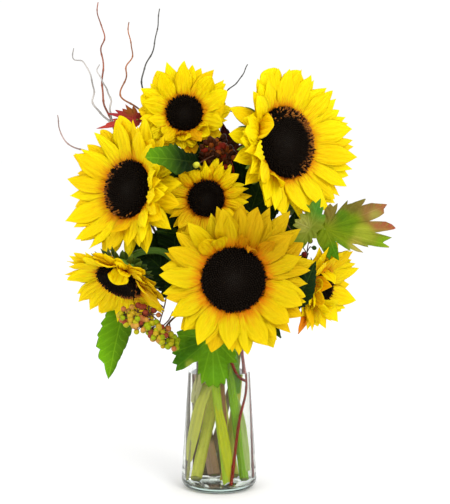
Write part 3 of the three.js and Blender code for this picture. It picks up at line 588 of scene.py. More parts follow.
def wet_route(stem):
    """The foot, any bends under water and the neck. A leaning foot is raised to clear the floor."""
    neck = np.array([*stem["neck"], VASE_TOP], float)
    wet = [np.array(point, float) for point in stem.get("wet", [])]
    foot = np.array([*stem["foot"], VASE_FLOOR + CLEARANCE], float)
    lean = (wet + [neck])[0] - foot
    foot[2] += stem["radius"] * np.hypot(lean[0], lean[1]) / np.linalg.norm(lean)
    return [foot, *wet, neck]


def stem_route(stem, ends=()):
    """The smooth path of a cut stem: straight under water, then along its bends."""
    below = wet_route(stem)
    guide = [below[0], below[-1], *stem["bends"], *ends]
    steps = (len(guide) - 1) * 2
    above = through(guide, np.arange(3, steps + 1) / steps)
    if len(below) == 2:
        below = [below[0] + share * (below[1] - below[0]) for share in (0, 0.3, 0.6, 0.85, 1)]
    return evenly(np.vstack([below, above]), 2.0)


# ---- Surfaces ------------------------------------------------------------


class Shape:
    """The points, triangles, colours and flat places of a mesh that is being put together."""

    def __init__(self):
        self.points, self.faces, self.tints, self.flats, self.slots = [], [], [], [], []
        self.count = 0

    def add(self, points, faces, tint, flat=None, slot=0):
        """Adds copies, points (copies, corners, 3), that share their triangles (triangles, 3)."""
        copies, corners = points.shape[:2]
        starts = self.count + corners * np.arange(copies)
        self.faces.append((faces[None] + starts[:, None, None]).reshape(-1, 3))
        self.points.append(points.reshape(-1, 3))
        self.tints.append(np.broadcast_to(tint, points.shape).reshape(-1, 3))
        flat = np.zeros((copies, corners, 2)) if flat is None else flat
        self.flats.append(np.broadcast_to(flat, (copies, corners, 2)).reshape(-1, 2))
        self.slots.append(np.full(copies * len(faces), slot))
        self.count += copies * corners

    def grid(self, rings, first, last, tint, flat=None, slot=0, head=None):
        """Adds closed grids, rings (copies, rows, columns, 3) and two poles, on a head if one is given.
        A pole has the colour and the flat place of the row beside it."""
        corners = with_poles(rings, first, last)
        corners = corners if head is None else in_head(head, corners)
        tint = with_ends(np.broadcast_to(tint, rings.shape))
        flat = None if flat is None else with_ends(flat)
        self.add(corners, tube_faces(*rings.shape[1:3]), tint, flat, slot)

    def rod(self, path, radius, sides, tint, slot=0, **form):
        """Adds a tube along a path. Its tint is a colour, or a rule that gives one for each height."""
        corners, faces, flat = tube(path, radius, sides, **form)
        self.add(corners, faces, tint(corners[..., 2]) if callable(tint) else tint, flat, slot)

    def piece(self, name, materials, slot, *nodes):
        """The finished object: it rides on the body, wears the materials and replaces the nodes."""
        mesh = bpy.data.meshes.new(name)
        points = np.concatenate(self.points) * MM
        faces = np.concatenate(self.faces).astype(np.int32)
        mesh.vertices.add(len(points))
        mesh.vertices.foreach_set("co", points.astype(np.float32).ravel())
        mesh.loops.add(faces.size)
        mesh.loops.foreach_set("vertex_index", faces.ravel())
        mesh.polygons.add(len(faces))
        mesh.polygons.foreach_set("loop_start", np.arange(0, faces.size, 3, dtype=np.int32))
        mesh.polygons.foreach_set("material_index", np.concatenate(self.slots).astype(np.int32))
        mesh.polygons.foreach_set("use_smooth", np.ones(len(faces), bool))
        mesh.update(calc_edges=True)
        flats = np.concatenate(self.flats)[faces.ravel()]
        mesh.uv_layers.new(name="UVMap").data.foreach_set("uv", flats.astype(np.float32).ravel())
        tints = np.concatenate([np.concatenate(self.tints), np.ones((len(points), 1))], axis=1)
        tint = mesh.attributes.new("tint", "FLOAT_COLOR", "POINT")
        tint.data.foreach_set("color", tints.astype(np.float32).ravel())
        for material in materials:
            mesh.materials.append(material)
        made = bpy.data.objects.new(name, mesh)
        bpy.context.scene.collection.objects.link(made)
        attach(made, "root")
        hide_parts(*nodes)
        return made


def tube_faces(rows, columns):
    """Triangles of a grid that closes round its columns, with a pole before its first row and one
    after its last."""
    row, column = np.meshgrid(np.arange(rows - 1), np.arange(columns), indexing="ij")
    corner = (row * columns + column).ravel()
    beside = (row * columns + (column + 1) % columns).ravel()
    sides = np.concatenate([
        np.stack([corner, beside, beside + columns], axis=1),
        np.stack([corner, beside + columns, corner + columns], axis=1),
    ])
    ring = np.arange(columns)
    near, far = ring, (rows - 1) * columns + ring
    start, end = rows * columns, rows * columns + 1
    return np.concatenate([
        sides,
        np.stack([np.full(columns, start), np.roll(near, -1), near], axis=1),
        np.stack([np.full(columns, end), far, np.roll(far, -1)], axis=1),
    ])


def with_poles(rings, first, last):
    """Grids (copies, rows, columns, n) as lists of corners, with the two poles at their ends."""
    copies, rows, columns, size = rings.shape
    first, last = (np.broadcast_to(pole, (copies, size))[:, None] for pole in (first, last))
    return np.concatenate([rings.reshape(copies, rows * columns, size), first, last], axis=1)


def with_ends(values):
    """A grid's values as lists of corners, where a pole repeats the first corner of the row beside it."""
    return with_poles(values, values[:, 0, 0], values[:, -1, 0])


def flat_places(across, along):
    """Places in the flat pattern of a surface, in centimetres, from millimetres across and along."""
    return np.stack(np.broadcast_arrays(across, along), axis=-1) / 10


def circle(sides):
    """The angles of points spaced evenly round a circle."""
    return np.arange(sides) * 2 * np.pi / sides


def spokes(angle):
    """Unit vectors square to Z at the given angles."""
    return np.stack([np.cos(angle), np.sin(angle), 0 * angle], axis=1)


def rings_round(base, axis, hint, heights, widths, sides):
    """Rings round many axes at once, at their heights along the axis and as wide as `widths`. It also
    gives the directions round each axis, which start square to the axis and to the hint."""
    sideways = unit(np.cross(axis, hint))
    third = np.cross(axis, sideways)
    angle = circle(sides)[:, None]
    around = sideways[:, None, None] * np.cos(angle) + third[:, None, None] * np.sin(angle)
    centres = base[:, None, None] + axis[:, None, None] * heights[..., None, None]
    return centres + around * widths[..., None, None], around


def across_columns(steps):
    """The columns of a blade's section: over its upper side from -1 to 1, and back underneath. It
    gives each column's place across and its side, 1 above, -1 below and 0 at the edges."""
    v = np.linspace(-1, 1, steps)
    side = np.concatenate([[0], np.ones(steps - 2), [0], -np.ones(steps - 2)])
    return np.concatenate([v, v[-2:0:-1]]), side


def blades(spine, up, half, thickness, steps, lift, twist=0.0):
    """Thin closed blades. Each column lies beside the spine by its place across times the half width,
    which is the row's or the column's own. It is raised by `lift`, and half the thickness above or
    below, thinning toward the edges. `twist` turns the section about the spine."""
    v, side = across_columns(steps)
    along = unit(np.gradient(spine, axis=1))
    sideways = unit(np.cross(along, up))
    outward = np.cross(sideways, along)
    half = half if half.ndim == 3 else half[..., None]
    twist = np.broadcast_to(twist, half.shape[:2])[..., None]
    sideways, outward = (
        sideways * np.cos(twist) + outward * np.sin(twist),
        outward * np.cos(twist) - sideways * np.sin(twist),
    )
    height = lift + thickness / 2 * np.sqrt(1 - 0.96 * v**2) * side
    return (
        spine[:, :, None]
        + sideways[:, :, None] * (v * half)[..., None]
        + outward[:, :, None] * height[..., None]
    )


def turned(profile, sides):
    """A surface of revolution about Z from [radius, height] pairs, closed at both ends on the axis."""
    profile = np.asarray(profile, float)
    angle = circle(sides)
    radius, height = profile[:, 0, None], profile[:, 1, None]
    rings = np.stack([radius * np.cos(angle), radius * np.sin(angle), height + 0 * angle], axis=-1)[None]
    return with_poles(rings, (0, 0, profile[0, 1]), (0, 0, profile[-1, 1])), tube_faces(len(profile), sides)


def tube(path, radius, sides, ridges=0, ridge_depth=0.0, cut=0.0):
    """A round rod along a path: rings of the given radii, square to the path. The rings carry
    `ridges` lengthwise ribs, and the first is sheared by `cut` so that the foot is cut aslant."""
    path, radius = np.asarray(path, float), np.broadcast_to(radius, len(path))
    along = unit(np.gradient(path, axis=0))
    axis = np.eye(3)[np.argmin(np.abs(along).max(axis=0))]
    across = unit(np.cross(axis, along))
    third = np.cross(along, across)
    angle = circle(sides)
    size = radius[:, None] * (1 + ridge_depth * np.cos(ridges * angle))
    spoke = across[:, None] * np.cos(angle)[:, None] + third[:, None] * np.sin(angle)[:, None]
    shear = cut * radius[0] * (1 + np.cos(angle)) * np.exp(-np.arange(len(path)) / 1.6)[:, None]
    rings = path[:, None] + spoke * size[..., None] + along[:, None] * shear[..., None]
    flat = flat_places(size * (angle - np.pi), lengths_along(path)[:, None])
    corners = with_poles(rings[None], path[0] + along[0] * cut * radius[0], path[-1])
    return corners, tube_faces(len(path), sides), with_ends(flat[None])


def tapered(path, start, end):
    """Each point's share of a path, and a radius that goes evenly from start to end."""
    share = np.linspace(0, 1, len(path))
    return share, start + (end - start) * share


def knots(share, count, swell, sharpness):
    """How much thicker a twig is at its knots: a bell curve about the middle of each of its spans."""
    return 1 + swell * np.exp(-((share * count % 1 - 0.5) * sharpness) ** 2)


# ---- Materials -----------------------------------------------------------


class Finish:
    """A material and the few kinds of node that the finishes here are wired from."""

    def __init__(self, name):
        self.material = bpy.data.materials.new(name)
        self.material.use_nodes = True
        self.tree = self.material.node_tree
        self.shader = self.tree.nodes["Principled BSDF"]
        self.output = self.tree.nodes["Material Output"]

    def put(self, socket, value):
        """Links a socket or sets its value."""
        if isinstance(value, bpy.types.NodeSocket):
            self.tree.links.new(value, socket)
        elif np.ndim(value) and socket.type == "RGBA":
            socket.default_value = (*[float(part) for part in value], 1.0)
        else:
            socket.default_value = value

    def node(self, kind, *values, out=0, **settings):
        """A node with its first sockets filled in order, None leaving one as it is."""
        made = self.tree.nodes.new("ShaderNode" + kind)
        for key, value in settings.items():
            setattr(made, key, value)
        for socket, value in zip(made.inputs, values):
            if value is not None:
                self.put(socket, value)
        return made.outputs[out]

    def maths(self, operation, *values):
        return self.node("Math", *values, operation=operation)

    def between(self, value, low, high, to_low=0.0, to_high=1.0):
        """The value's place between low and high, held inside them."""
        return self.node("MapRange", value, low, high, to_low, to_high)

    def noise(self, place, scale, detail=3.0, roughness=0.55):
        return self.node("TexNoise", place, None, scale, detail, roughness)

    def stretched(self, place, scale):
        """Coordinates scaled apart along their axes, so that a pattern runs along one of them."""
        return self.node("Mapping", place, None, None, scale)

    def blend(self, share, first, second, how="MIX"):
        made = self.tree.nodes.new("ShaderNodeMix")
        made.data_type, made.blend_type = "RGBA", how
        for index, value in ((0, share), (6, first), (7, second)):
            self.put(made.inputs[index], value)
        return made.outputs[2]

    def stain(self, colour, pattern, low, high, most, tone):
        """The colour times a tone, by up to the share `most` as the pattern goes from low to high."""
        return self.blend(self.between(pattern, low, high, 0, most), colour, tone, "MULTIPLY")

    def place(self, name="Object"):
        made = self.tree.nodes.new("ShaderNodeTexCoord")
        return made.outputs[name]

    def tint(self):
        """The colour that the mesh holds for each of its points."""
        return self.node("Attribute", attribute_name="tint")

    def bump(self, height, distance, strength=1.0, below=None):
        made = self.tree.nodes.new("ShaderNodeBump")
        self.put(made.inputs["Strength"], strength)
        self.put(made.inputs["Distance"], distance)
        self.put(made.inputs["Height"], height)
        if below is not None:
            self.put(made.inputs["Normal"], below)
        return made.outputs[0]

    def set(self, **sockets):
        """Sets the main shader's sockets. An underscore in a name stands for a space."""
        for name, value in sockets.items():
            self.put(self.shader.inputs[name.replace("_", " ")], value)
        return self

    def glow_through(self, colour, share):
        """Lets some light through the piece: mixes a translucent shader with the main one."""
        through_it = self.node("BsdfTranslucent", colour)
        both = self.node("MixShader", share, self.shader.outputs[0], through_it)
        self.tree.links.new(both, self.output.inputs[0])
        return self


def petal_finish():
    """Ray petals: lengthwise veins as streaks and grooves, orange near the root, a soft mottle, and
    light through them. The darker gold in the grooves and the orange streaks by the root are partly
    the petals' own colour and partly painted shade."""
    finish = Finish("ray_petal")
    flat = finish.place("UV")
    veins = finish.noise(finish.stretched(flat, (13, 0.8, 1)), 1.0, 2.0)
    fine = finish.noise(finish.stretched(flat, (55, 2.2, 1)), 1.0, 2.0)
    mottle = finish.noise(finish.place(), 130.0, 3.0)
    along = finish.node("SeparateXYZ", flat, out=1)
    # Partly the petals' own colour and partly painted shade: orange streaks by the root, and darker gold
    # where the veins' bump sinks into grooves.
    root = finish.between(along, 2.0, 0.1, 0.0, 0.95)
    streak = finish.maths("MULTIPLY", root, finish.between(veins, 0.5, 0.3))
    colour = finish.stain(finish.tint(), veins, 0.46, 0.22, 0.4, (0.94, 0.7, 0.0))
    colour = finish.blend(streak, colour, PETAL_ORANGE_AND_SHADE)
    colour = finish.stain(colour, mottle, 0.35, 0.75, 0.2, (1.0, 0.9, 0.4))
    normal = finish.bump(veins, 0.001, 0.9, finish.bump(fine, 0.0003, 0.6))
    finish.set(Base_Color=colour, Roughness=finish.between(mottle, 0.3, 0.7, 0.48, 0.66), Normal=normal)
    finish.set(Specular_IOR_Level=0.12)
    return finish.glow_through(colour, 0.4).material


def floret_finish():
    """Florets of the disc: dark and dull, with a dusty sheen and a fine crumble."""
    finish = Finish("disc_florets")
    crumbs = finish.noise(finish.place(), 1500.0, 4.0)
    colour = finish.stain(finish.tint(), crumbs, 0.35, 0.7, 0.6, (0.45, 0.4, 0.38))
    finish.set(Base_Color=colour, Roughness=0.9, Specular_IOR_Level=0.08)
    return finish.set(Normal=finish.bump(crumbs, 0.0006, 0.7)).material


def leaf_finish(name, vein, gap, shine, side=0.55, shown=0.8):
    """Leaf blades: side veins that leave the midrib aslant every `gap`, a net of small ones and a soft
    shine. `side` is how strong the side veins are beside the midrib, and `shown` how strong both are.
    The flat places are centimetres across and along the leaf or lobe."""
    finish = Finish(name)
    parts = finish.tree.nodes.new("ShaderNodeSeparateXYZ")
    finish.put(parts.inputs[0], finish.place("UV"))
    across = finish.maths("ABSOLUTE", parts.outputs[0])
    slanted = finish.maths("SUBTRACT", parts.outputs[1], finish.maths("MULTIPLY", across, 0.85))
    wander = finish.noise(finish.place("UV"), 1.6, 2.0)
    slanted = finish.maths("ADD", slanted, finish.maths("MULTIPLY", wander, 0.6))
    side_vein = finish.maths("PINGPONG", finish.maths("DIVIDE", slanted, gap), 0.5)
    side_vein = finish.between(side_vein, 0.12, 0.02)
    midrib = finish.between(across, 0.09, 0.03)
    veins = finish.maths("MAXIMUM", midrib, finish.maths("MULTIPLY", side_vein, side))
    cells = finish.node("TexVoronoi", finish.place("UV"), None, 9.0, feature="DISTANCE_TO_EDGE")
    net = finish.between(cells, 0.0, 0.09, 1.0, 0.0)
    mottle = finish.noise(finish.place(), 70.0, 4.0)
    colour = finish.stain(finish.tint(), mottle, 0.3, 0.7, 0.55, (0.56, 0.66, 0.5))
    vein_tone = finish.blend(0.05, finish.blend(1.0, finish.tint(), (1.5, 1.36, 2.6), "MULTIPLY"), vein)
    colour = finish.blend(finish.maths("MULTIPLY", net, 0.1), colour, vein_tone)
    colour = finish.blend(finish.maths("MULTIPLY", veins, shown), colour, vein_tone)
    relief = finish.maths("SUBTRACT", finish.maths("MULTIPLY", net, -0.25), veins)
    finish.set(Base_Color=colour, Roughness=finish.between(mottle, 0.3, 0.7, shine, shine + 0.15))
    finish.set(Normal=finish.bump(relief, 0.0006, 0.8), Specular_IOR_Level=0.1)
    return finish.glow_through(colour, 0.25).material


def stem_finish():
    """Green stems: lengthwise fibres, freckles and a faint bloom."""
    finish = Finish("green_stem")
    fibres = finish.noise(finish.stretched(finish.place("UV"), (22, 0.8, 1)), 1.0, 3.0)
    freckles = finish.noise(finish.place(), 420.0, 2.0)
    colour = finish.stain(finish.tint(), fibres, 0.44, 0.62, 0.5, (0.74, 0.86, 0.46))
    colour = finish.stain(colour, freckles, 0.62, 0.72, 0.35, (0.42, 0.3, 0.12))
    finish.set(Base_Color=colour, Roughness=0.55, Normal=finish.bump(fibres, 0.0009, 0.7))
    return finish.set(Specular_IOR_Level=0.2).material


def bark_finish():
    """Twigs and branches: lengthwise cracks, pale lenticels and dull bark."""
    finish = Finish("twig_bark")
    cracks = finish.noise(finish.stretched(finish.place("UV"), (26, 2.4, 1)), 1.0, 4.0)
    spots = finish.node("TexVoronoi", finish.stretched(finish.place("UV"), (9, 3.5, 1)), None, 1.0)
    colour = finish.stain(finish.tint(), cracks, 0.35, 0.65, 0.7, (0.4, 0.36, 0.34))
    colour = finish.blend(finish.between(spots, 0.16, 0.08, 0, 0.5), colour, LENTICEL)
    finish.set(Base_Color=colour, Roughness=0.75, Normal=finish.bump(cracks, 0.0007, 0.8))
    return finish.set(Specular_IOR_Level=0.3).material


def berry_finish():
    """Berries: a waxy skin with a soft bloom and a few freckles."""
    finish = Finish("berry_skin")
    mottle = finish.noise(finish.place(), 380.0, 3.0)
    colour = finish.stain(finish.tint(), mottle, 0.4, 0.7, 0.55, (0.72, 0.5, 0.4))
    finish.set(Base_Color=colour, Roughness=finish.between(mottle, 0.3, 0.7, 0.3, 0.5))
    finish.set(Specular_IOR_Level=0.14, Specular_Tint=(0.5, 0.4, 0.3))
    return finish.set(Normal=finish.bump(mottle, 0.0002, 0.4)).material


def glass_finish(name, colour, index, density):
    """Clear glass or water with slight waves in its surface. What it absorbs along the way colours its
    edges and its thick base."""
    finish = Finish(name)
    waves = finish.noise(finish.place(), 26.0, 1.0)
    finish.set(Base_Color=(0.99, 0.99, 0.99), Transmission_Weight=1.0, IOR=index, Roughness=0.0)
    absorbed = finish.node("VolumeAbsorption", colour, density)
    finish.tree.links.new(absorbed, finish.output.inputs[1])
    finish.set(Specular_Tint=(0.15, 0.15, 0.15))
    return finish.set(Normal=finish.bump(waves, 0.0004, 0.25)).material


# ---- Sunflower heads -----------------------------------------------------


def petal_sizes(head):
    """Each petal's place round the head, length, slope, curl, width, root height and twist, by the rule
    of the solid model, with a third layer between its two and the head's own extra petals."""
    rays = head["rays"]
    fill = int(rays * 0.8)
    index = np.arange(rays + fill)
    layer = np.where(index < rays, index % 2, 2)
    step = 4 * np.pi / rays
    seed = head["disc"] + index
    turn = np.where(layer == 2, (index - rays) * 2 * np.pi / fill + 0.2, (index // 2 + layer / 2) * step)
    azimuth = turn + (draw(seed, 1) - 0.5) * (0.13 + 0.1 * (layer == 2))
    bias = 1 + head["bias"] * np.cos(azimuth - np.radians(head["toward"]))
    reach = head["ray"] * bias * (1 + head["ragged"] * 0.3 * (draw(seed, 2) - 0.62))
    near, stand = head["near"]
    stand = stand * np.clip(np.cos(azimuth - np.radians(near)), 0, 1) ** 2
    slope = np.choose(layer, [8, head["cup"], 0.6 * head["cup"]]) + 9 * (draw(seed, 3) - 0.5)
    curl = slope + (18 + 22 * head["ragged"]) * (draw(seed, 4) - 0.42) - 0.35 * stand
    slope = slope + stand * (0.55 + 0.6 * draw(seed, 12))
    width = head["ray_width"] * (0.84 + 0.3 * draw(seed, 5)) * np.where(layer == 2, 0.8, 1)
    root = np.choose(layer, [-3.6, -1.4, -2.4])
    twist = np.radians(20 + 36 * head["ragged"]) * (draw(seed, 6) - 0.5)
    sizes = np.stack([azimuth, reach, np.radians(slope), np.radians(curl), width, root, twist], axis=1)
    extra = [
        (np.radians(a), length, np.radians(rise), np.radians(bend), wide, -1.0, np.radians(turned_by))
        for a, rise, bend, length, wide, turned_by, *_ in head["extra"]
    ]
    return np.vstack([sizes, extra]) if extra else sizes


def own_petals(head, count):
    """How rusty and how pointed each of a head's `count` petals is. Its extra petals come last, and
    those that don't say are plain."""
    extra = [petal + (0.0, 1.0)[len(petal) - 6:] for petal in head["extra"]]
    plain = count - len(extra)
    return (np.array([0.0] * plain + [petal[6] for petal in extra]),
            np.array([1.0] * plain + [petal[7] for petal in extra]))


def petal_shape(head, sizes):
    """Petals as closed blades: a curve that leaves the ring at its slope and bends to its curl, with a
    half width that rises as the root of the distance and closes to a point as one minus its square.
    The section is a shallow channel with ribs, its edges wave, and its tip bends on. It gives the
    rings, both ends, the half widths and the lengths."""
    azimuth, reach, slope, curl, width, root, twist = sizes.T
    rows, steps = PETAL_GRID
    t = np.linspace(0, 0.985, rows)
    seed = head["disc"] * 3 + np.arange(len(azimuth))

    def heading(angle):
        """Each petal's way outward, raised by an angle."""
        return spokes(azimuth) * np.cos(angle)[:, None] + np.sin(angle)[:, None] * [0, 0, 1]

    def own(stream):
        return draw(seed, stream)[:, None, None]

    ring = head["disc"] * head["shown"] + 0.4 + 1.2 * draw(seed, 13)
    start = spokes(azimuth) * ring[:, None] + root[:, None] * [0, 0, 1]
    reach = reach + head["disc"] + RING_WIDTH * 0.55 - ring
    middle = start + heading(slope) * reach[:, None] / 2
    end = middle + heading(curl) * reach[:, None] / 2
    sideways = np.stack([-np.sin(azimuth), np.cos(azimuth), 0 * azimuth], axis=1)
    end = end + sideways * ((draw(seed, 7) - 0.5) * (0.12 + 0.2 * head["ragged"]) * reach)[:, None]
    spine = bezier(start, middle, end, t)
    point = (0.82 + 0.5 * draw(seed, 8))[:, None] * own_petals(head, len(reach))[1][:, None]
    half = width[:, None] / 2 * 1.86 * np.sqrt(t * 0.9 + 0.085) * (1 - t**2) ** point
    half = half * (1 + 0.05 * np.sin(9 * t + TURN * draw(seed, 14)[:, None]))
    v, _ = across_columns(steps)
    phase = TURN * own(9)
    waves = np.sin(t[None, :, None] * (7 + 6 * own(10)) + phase + 1.6 * v)
    ribs = 0.085 * np.cos(4 * np.pi * v + 0.8 * phase) * np.sin(np.pi * t)[None, :, None] ** 0.6
    hollow = 0.1 + 0.32 * own(11)
    fold = 0.12 * (own(15) - 0.3) * (1 - np.abs(v))
    lift = half[..., None] * (hollow * np.abs(v) ** 1.6 + 0.12 * waves * v**2 + ribs + fold)
    up = -np.cross(heading(slope), sideways)[:, None]
    rings = blades(spine, up, half, PETAL_THICKNESS, steps, lift, twist[:, None] * t)
    return rings, spine[:, 0], end, half, reach


def petals_piece(name, head, skin):
    """All the ray petals of a head and the ring that they leave."""
    shape = Shape()
    sizes = petal_sizes(head)
    rings, first, last, half, reach = petal_shape(head, sizes)
    rows, steps = PETAL_GRID
    t = np.linspace(0, 0.985, rows)
    v, _ = across_columns(steps)
    seed = head["disc"] * 7 + np.arange(len(sizes))
    warm = np.clip(head["warm"] + 0.55 * (draw(seed, 1) - 0.5), 0, 1)
    rusty, _ = own_petals(head, len(sizes))
    # Painted shade: petals toward the head's shaded side turn darker and more orange, and `dim` darkens all
    # of them.
    toward, dusk = head.get("dusk", (0, 0))
    dusk = dusk * np.clip(np.cos(sizes[:, 0] - np.radians(toward)), 0, 1) ** 2
    yellow = mixed(mixed(LEMON, GOLD, warm), PETAL_ORANGE_AND_SHADE, np.clip(rusty + 0.5 * dusk, 0, 1))
    yellow = (yellow * head.get("dim", 1) * (1 - 0.3 * dusk[:, None]))[:, None, None]
    # The orange at the root is partly the petals' own colour and partly painted shade near the disc; the
    # crease is painted shade along a fold, fading toward the tip.
    root = np.exp(-((t / (0.06 + 0.16 * head["warm"] + 0.1 * draw(seed, 2)[:, None])) ** 2))[..., None]
    crease = np.exp(-((v - 0.5 * (draw(seed, 3)[:, None, None] - 0.5)) / 0.22) ** 2)
    crease = crease * (1 - t)[None, :, None] ** 1.5
    shade = np.clip(root * 0.75 + (0.06 + 0.4 * head["warm"]) * crease, 0, 1)
    tint = yellow * (1 - shade[..., None]) + PETAL_ORANGE_AND_SHADE * shade[..., None]
    flat = flat_places(v * half[..., None], (t * reach[:, None])[..., None])
    flat = flat + np.array([1, 0]) * seed[:, None, None, None]
    shape.grid(rings, first, last, tint, flat, head=head)
    inner, outer = head["disc"] * head["shown"] - 0.5, head["disc"] + RING_WIDTH
    ring = np.array([(inner, -6.5), (outer - 0.6, -6.5), (outer, -5.8), (outer, -5.0), (inner + 1.5, -3.4),
                     (inner, -3.2)])
    add_ring(shape, head, ring, RING_SIDES, PETAL_ORANGE_AND_SHADE * 0.6)
    return shape.piece(f"{name}_ray_petals", [skin], "petals", f"{name}_petals")


def add_ring(shape, head, section, sides, tint):
    """A closed ring round the head's axis: its section of [radius, height] pairs turned once."""
    columns = len(section)
    rings = np.concatenate([
        spokes(circle(sides))[:, None, :2] * section[None, :, :1],
        np.broadcast_to(section[None, :, 1:], (sides, columns, 1)),
    ], axis=2)
    row, column = np.meshgrid(np.arange(sides), np.arange(columns), indexing="ij")
    beside, next_row = (column + 1) % columns, (row + 1) % sides * columns
    row = row * columns
    faces = np.concatenate([
        np.stack([row + column, next_row + beside, row + beside], axis=-1).reshape(-1, 3),
        np.stack([row + column, next_row + column, next_row + beside], axis=-1).reshape(-1, 3),
    ])
    shape.add(in_head(head, rings.reshape(1, -1, 3)), faces, tint)


def disc_height(share):
    """Height of the disc's face by its share of the radius: low in the middle, a raised band near the
    rim, and down to the rim itself."""
    stations = [0, 0.28, 0.5, 0.72, 0.9, 1.0]
    heights = [0.2, 0.4, 1.6, 3.2, 2.2, -1.5]
    return np.interp(share, stations, heights)


def floret_piece(name, head, skin):
    """The disc: a turned body, and a floret at each turn of the golden angle. A floret is a small
    pointed bud with five sides; those near the rim are longer, lean out and have pale tips."""
    shape = Shape()
    radius = head["disc"] * head["shown"]
    shares = np.linspace(1, 0.03, 26)
    profile = [(radius * 0.5, -7), (radius + 0.3, -7), (radius + 0.3, -2.5)]
    profile += [(radius * share, disc_height(share) - 0.5) for share in shares]
    corners, faces = turned(profile, DISC_SIDES)
    shape.add(in_head(head, corners), faces, FLORET_DARK * 0.7)

    spacing = FLORET_SPACING[0 if radius > LARGE_DISC else 1]
    count = int((radius / spacing) ** 2 * 3.4)
    index = np.arange(count)
    share = np.sqrt((index + 0.5) / count)
    angle = index * GOLDEN_ANGLE + head["turn"]
    rim = smooth(share, 0.78, 0.95)
    core = 1 - smooth(share, 0.3, 0.5)
    out = spokes(angle)
    lean = 0.15 + 0.95 * rim * (0.4 + draw(index, 3)) - 0.35 * core
    wander = np.stack([draw(index, 4) - 0.5, draw(index, 5) - 0.5, 0 * angle], axis=1)
    axis = unit(np.array([0, 0, 1]) + out * lean[:, None] + wander * (0.3 + 0.7 * rim[:, None]))
    base = out * (radius * share * 0.985)[:, None]
    base[:, 2] = disc_height(share) - 0.9
    length = 2.3 + 1.3 * smooth(share, 0.45, 0.7) + 2.2 * rim * draw(index, 6) ** 2 - 0.8 * core
    girth = spacing * (0.47 - 0.06 * rim) * (0.85 + 0.3 * draw(index, 7))
    levels, widths = np.array([0.0, 0.45, 0.8]), np.array([0.75, 1.0, 0.7])
    rings, _ = rings_round(base, axis, [0.3, 0.9, 0.1], length[:, None] * levels, girth[:, None] * widths,
                           FLORET_SIDES)
    middle = 1 - smooth(share, 0.05, 0.32)
    grey = np.clip(0.15 * core + 0.45 * middle + 0.3 * draw(index, 8) ** 2, 0, 1)
    body = mixed(FLORET_DARK, FLORET_GREY, grey)
    toward, rusty = head["rust"]
    side = np.clip(0.35 + 0.65 * np.cos(angle - np.radians(toward)), 0, 1)
    bright = smooth(share, 0.68, 0.8) * (draw(index, 9) < rusty * side)
    tip = mixed(body, mixed(FLORET_RUST, FLORET_TAN, draw(index, 10) ** 0.9), bright)
    body = mixed(body, tip, 0.45 * bright)
    height = np.array([0, 0.5, 1.0])[:, None, None]
    tint = body[:, None, None] * (1 - height) + tip[:, None, None] * height
    shape.grid(rings, base, base + axis * length[:, None], tint, head=head)
    return shape.piece(f"{name}_florets", [skin], "disc", f"{name}_disc")


def add_bracts(shape, head, rim):
    """Rows of pointed bracts round the calyx: closed blades that leave it and curve outward."""
    rows, steps = BRACT_GRID
    t = np.linspace(0, 0.99, rows)
    v, _ = across_columns(steps)
    size = head["disc"] / 30 * 0.5 + 0.5
    for number, (count, depth, reach, wide, rise) in enumerate(BRACT_ROWS):
        index = np.arange(count)
        seed = head["disc"] + 17 * number + index
        out = spokes((index + 0.3 * draw(seed, 1) + 0.4 * number) * 2 * np.pi / count)
        length = reach * size * (0.8 + 0.4 * draw(seed, 2))
        away = rim * (1 - 0.16 * number)
        start = out * (away - 3) + [0, 0, depth]
        middle = out * (away + length[:, None] * 0.55) + [0, 0, depth - 1 + 4 * rise]
        end = out * (away + length[:, None]) + [0, 0, depth - 3]
        end = end + [0, 0, 1] * (5 * (draw(seed, 3)[:, None] - 0.6))
        spine = bezier(start, middle, end, t)
        half = wide * size * (0.9 + 0.2 * draw(seed, 4)[:, None]) * (0.62 + 0.9 * t) * (1 - t**1.3)
        lift = -half[..., None] * 0.22 * np.abs(v) ** 1.5
        rings = blades(spine, [0.0, 0, 1], half, BRACT_THICKNESS, steps, lift)
        tint = mixed(CALYX_GREEN, LEAF_PALE, 0.4 * draw(seed, 5))[:, None, None]
        # Painted shade: a head's `shade` darkens its bracts.
        tint = tint * (0.9 + 0.25 * t[None, :, None, None]) * head.get("shade", 1)
        flat = flat_places(v * half[..., None], (t * length[:, None])[..., None])
        shape.grid(rings, spine[:, 0], end, tint, flat, head=head)


def calyx_piece(name, head, skin):
    """The green cup behind the disc, turned from its solid's profile, with its bracts."""
    shape = Shape()
    rim = head["disc"] + RING_WIDTH - 0.5
    stations = [(0.5, -CALYX_BACK), (head["radius"] + 0.6, -CALYX_BACK), (rim * 0.32, -20.5),
                (rim * 0.62, -16.6), (rim * 0.9, -12.4), (rim, -9.4), (rim * 0.98, -CALYX_FRONT),
                (0.5, -CALYX_FRONT)]
    corners, faces = turned(stations, CALYX_SIDES)
    shape.add(in_head(head, corners), faces, CALYX_GREEN)
    add_bracts(shape, head, rim)
    return shape.piece(f"{name}_calyx", [skin], "stem", f"{name}_stem")


def stem_tint(wet_colour, dry_colour):
    """The rule for a stem's colour by height: one colour under water, which turns into another above."""
    return lambda height: mixed(wet_colour, dry_colour, smooth(height, WATER_TOP - 25, WATER_TOP + 40))


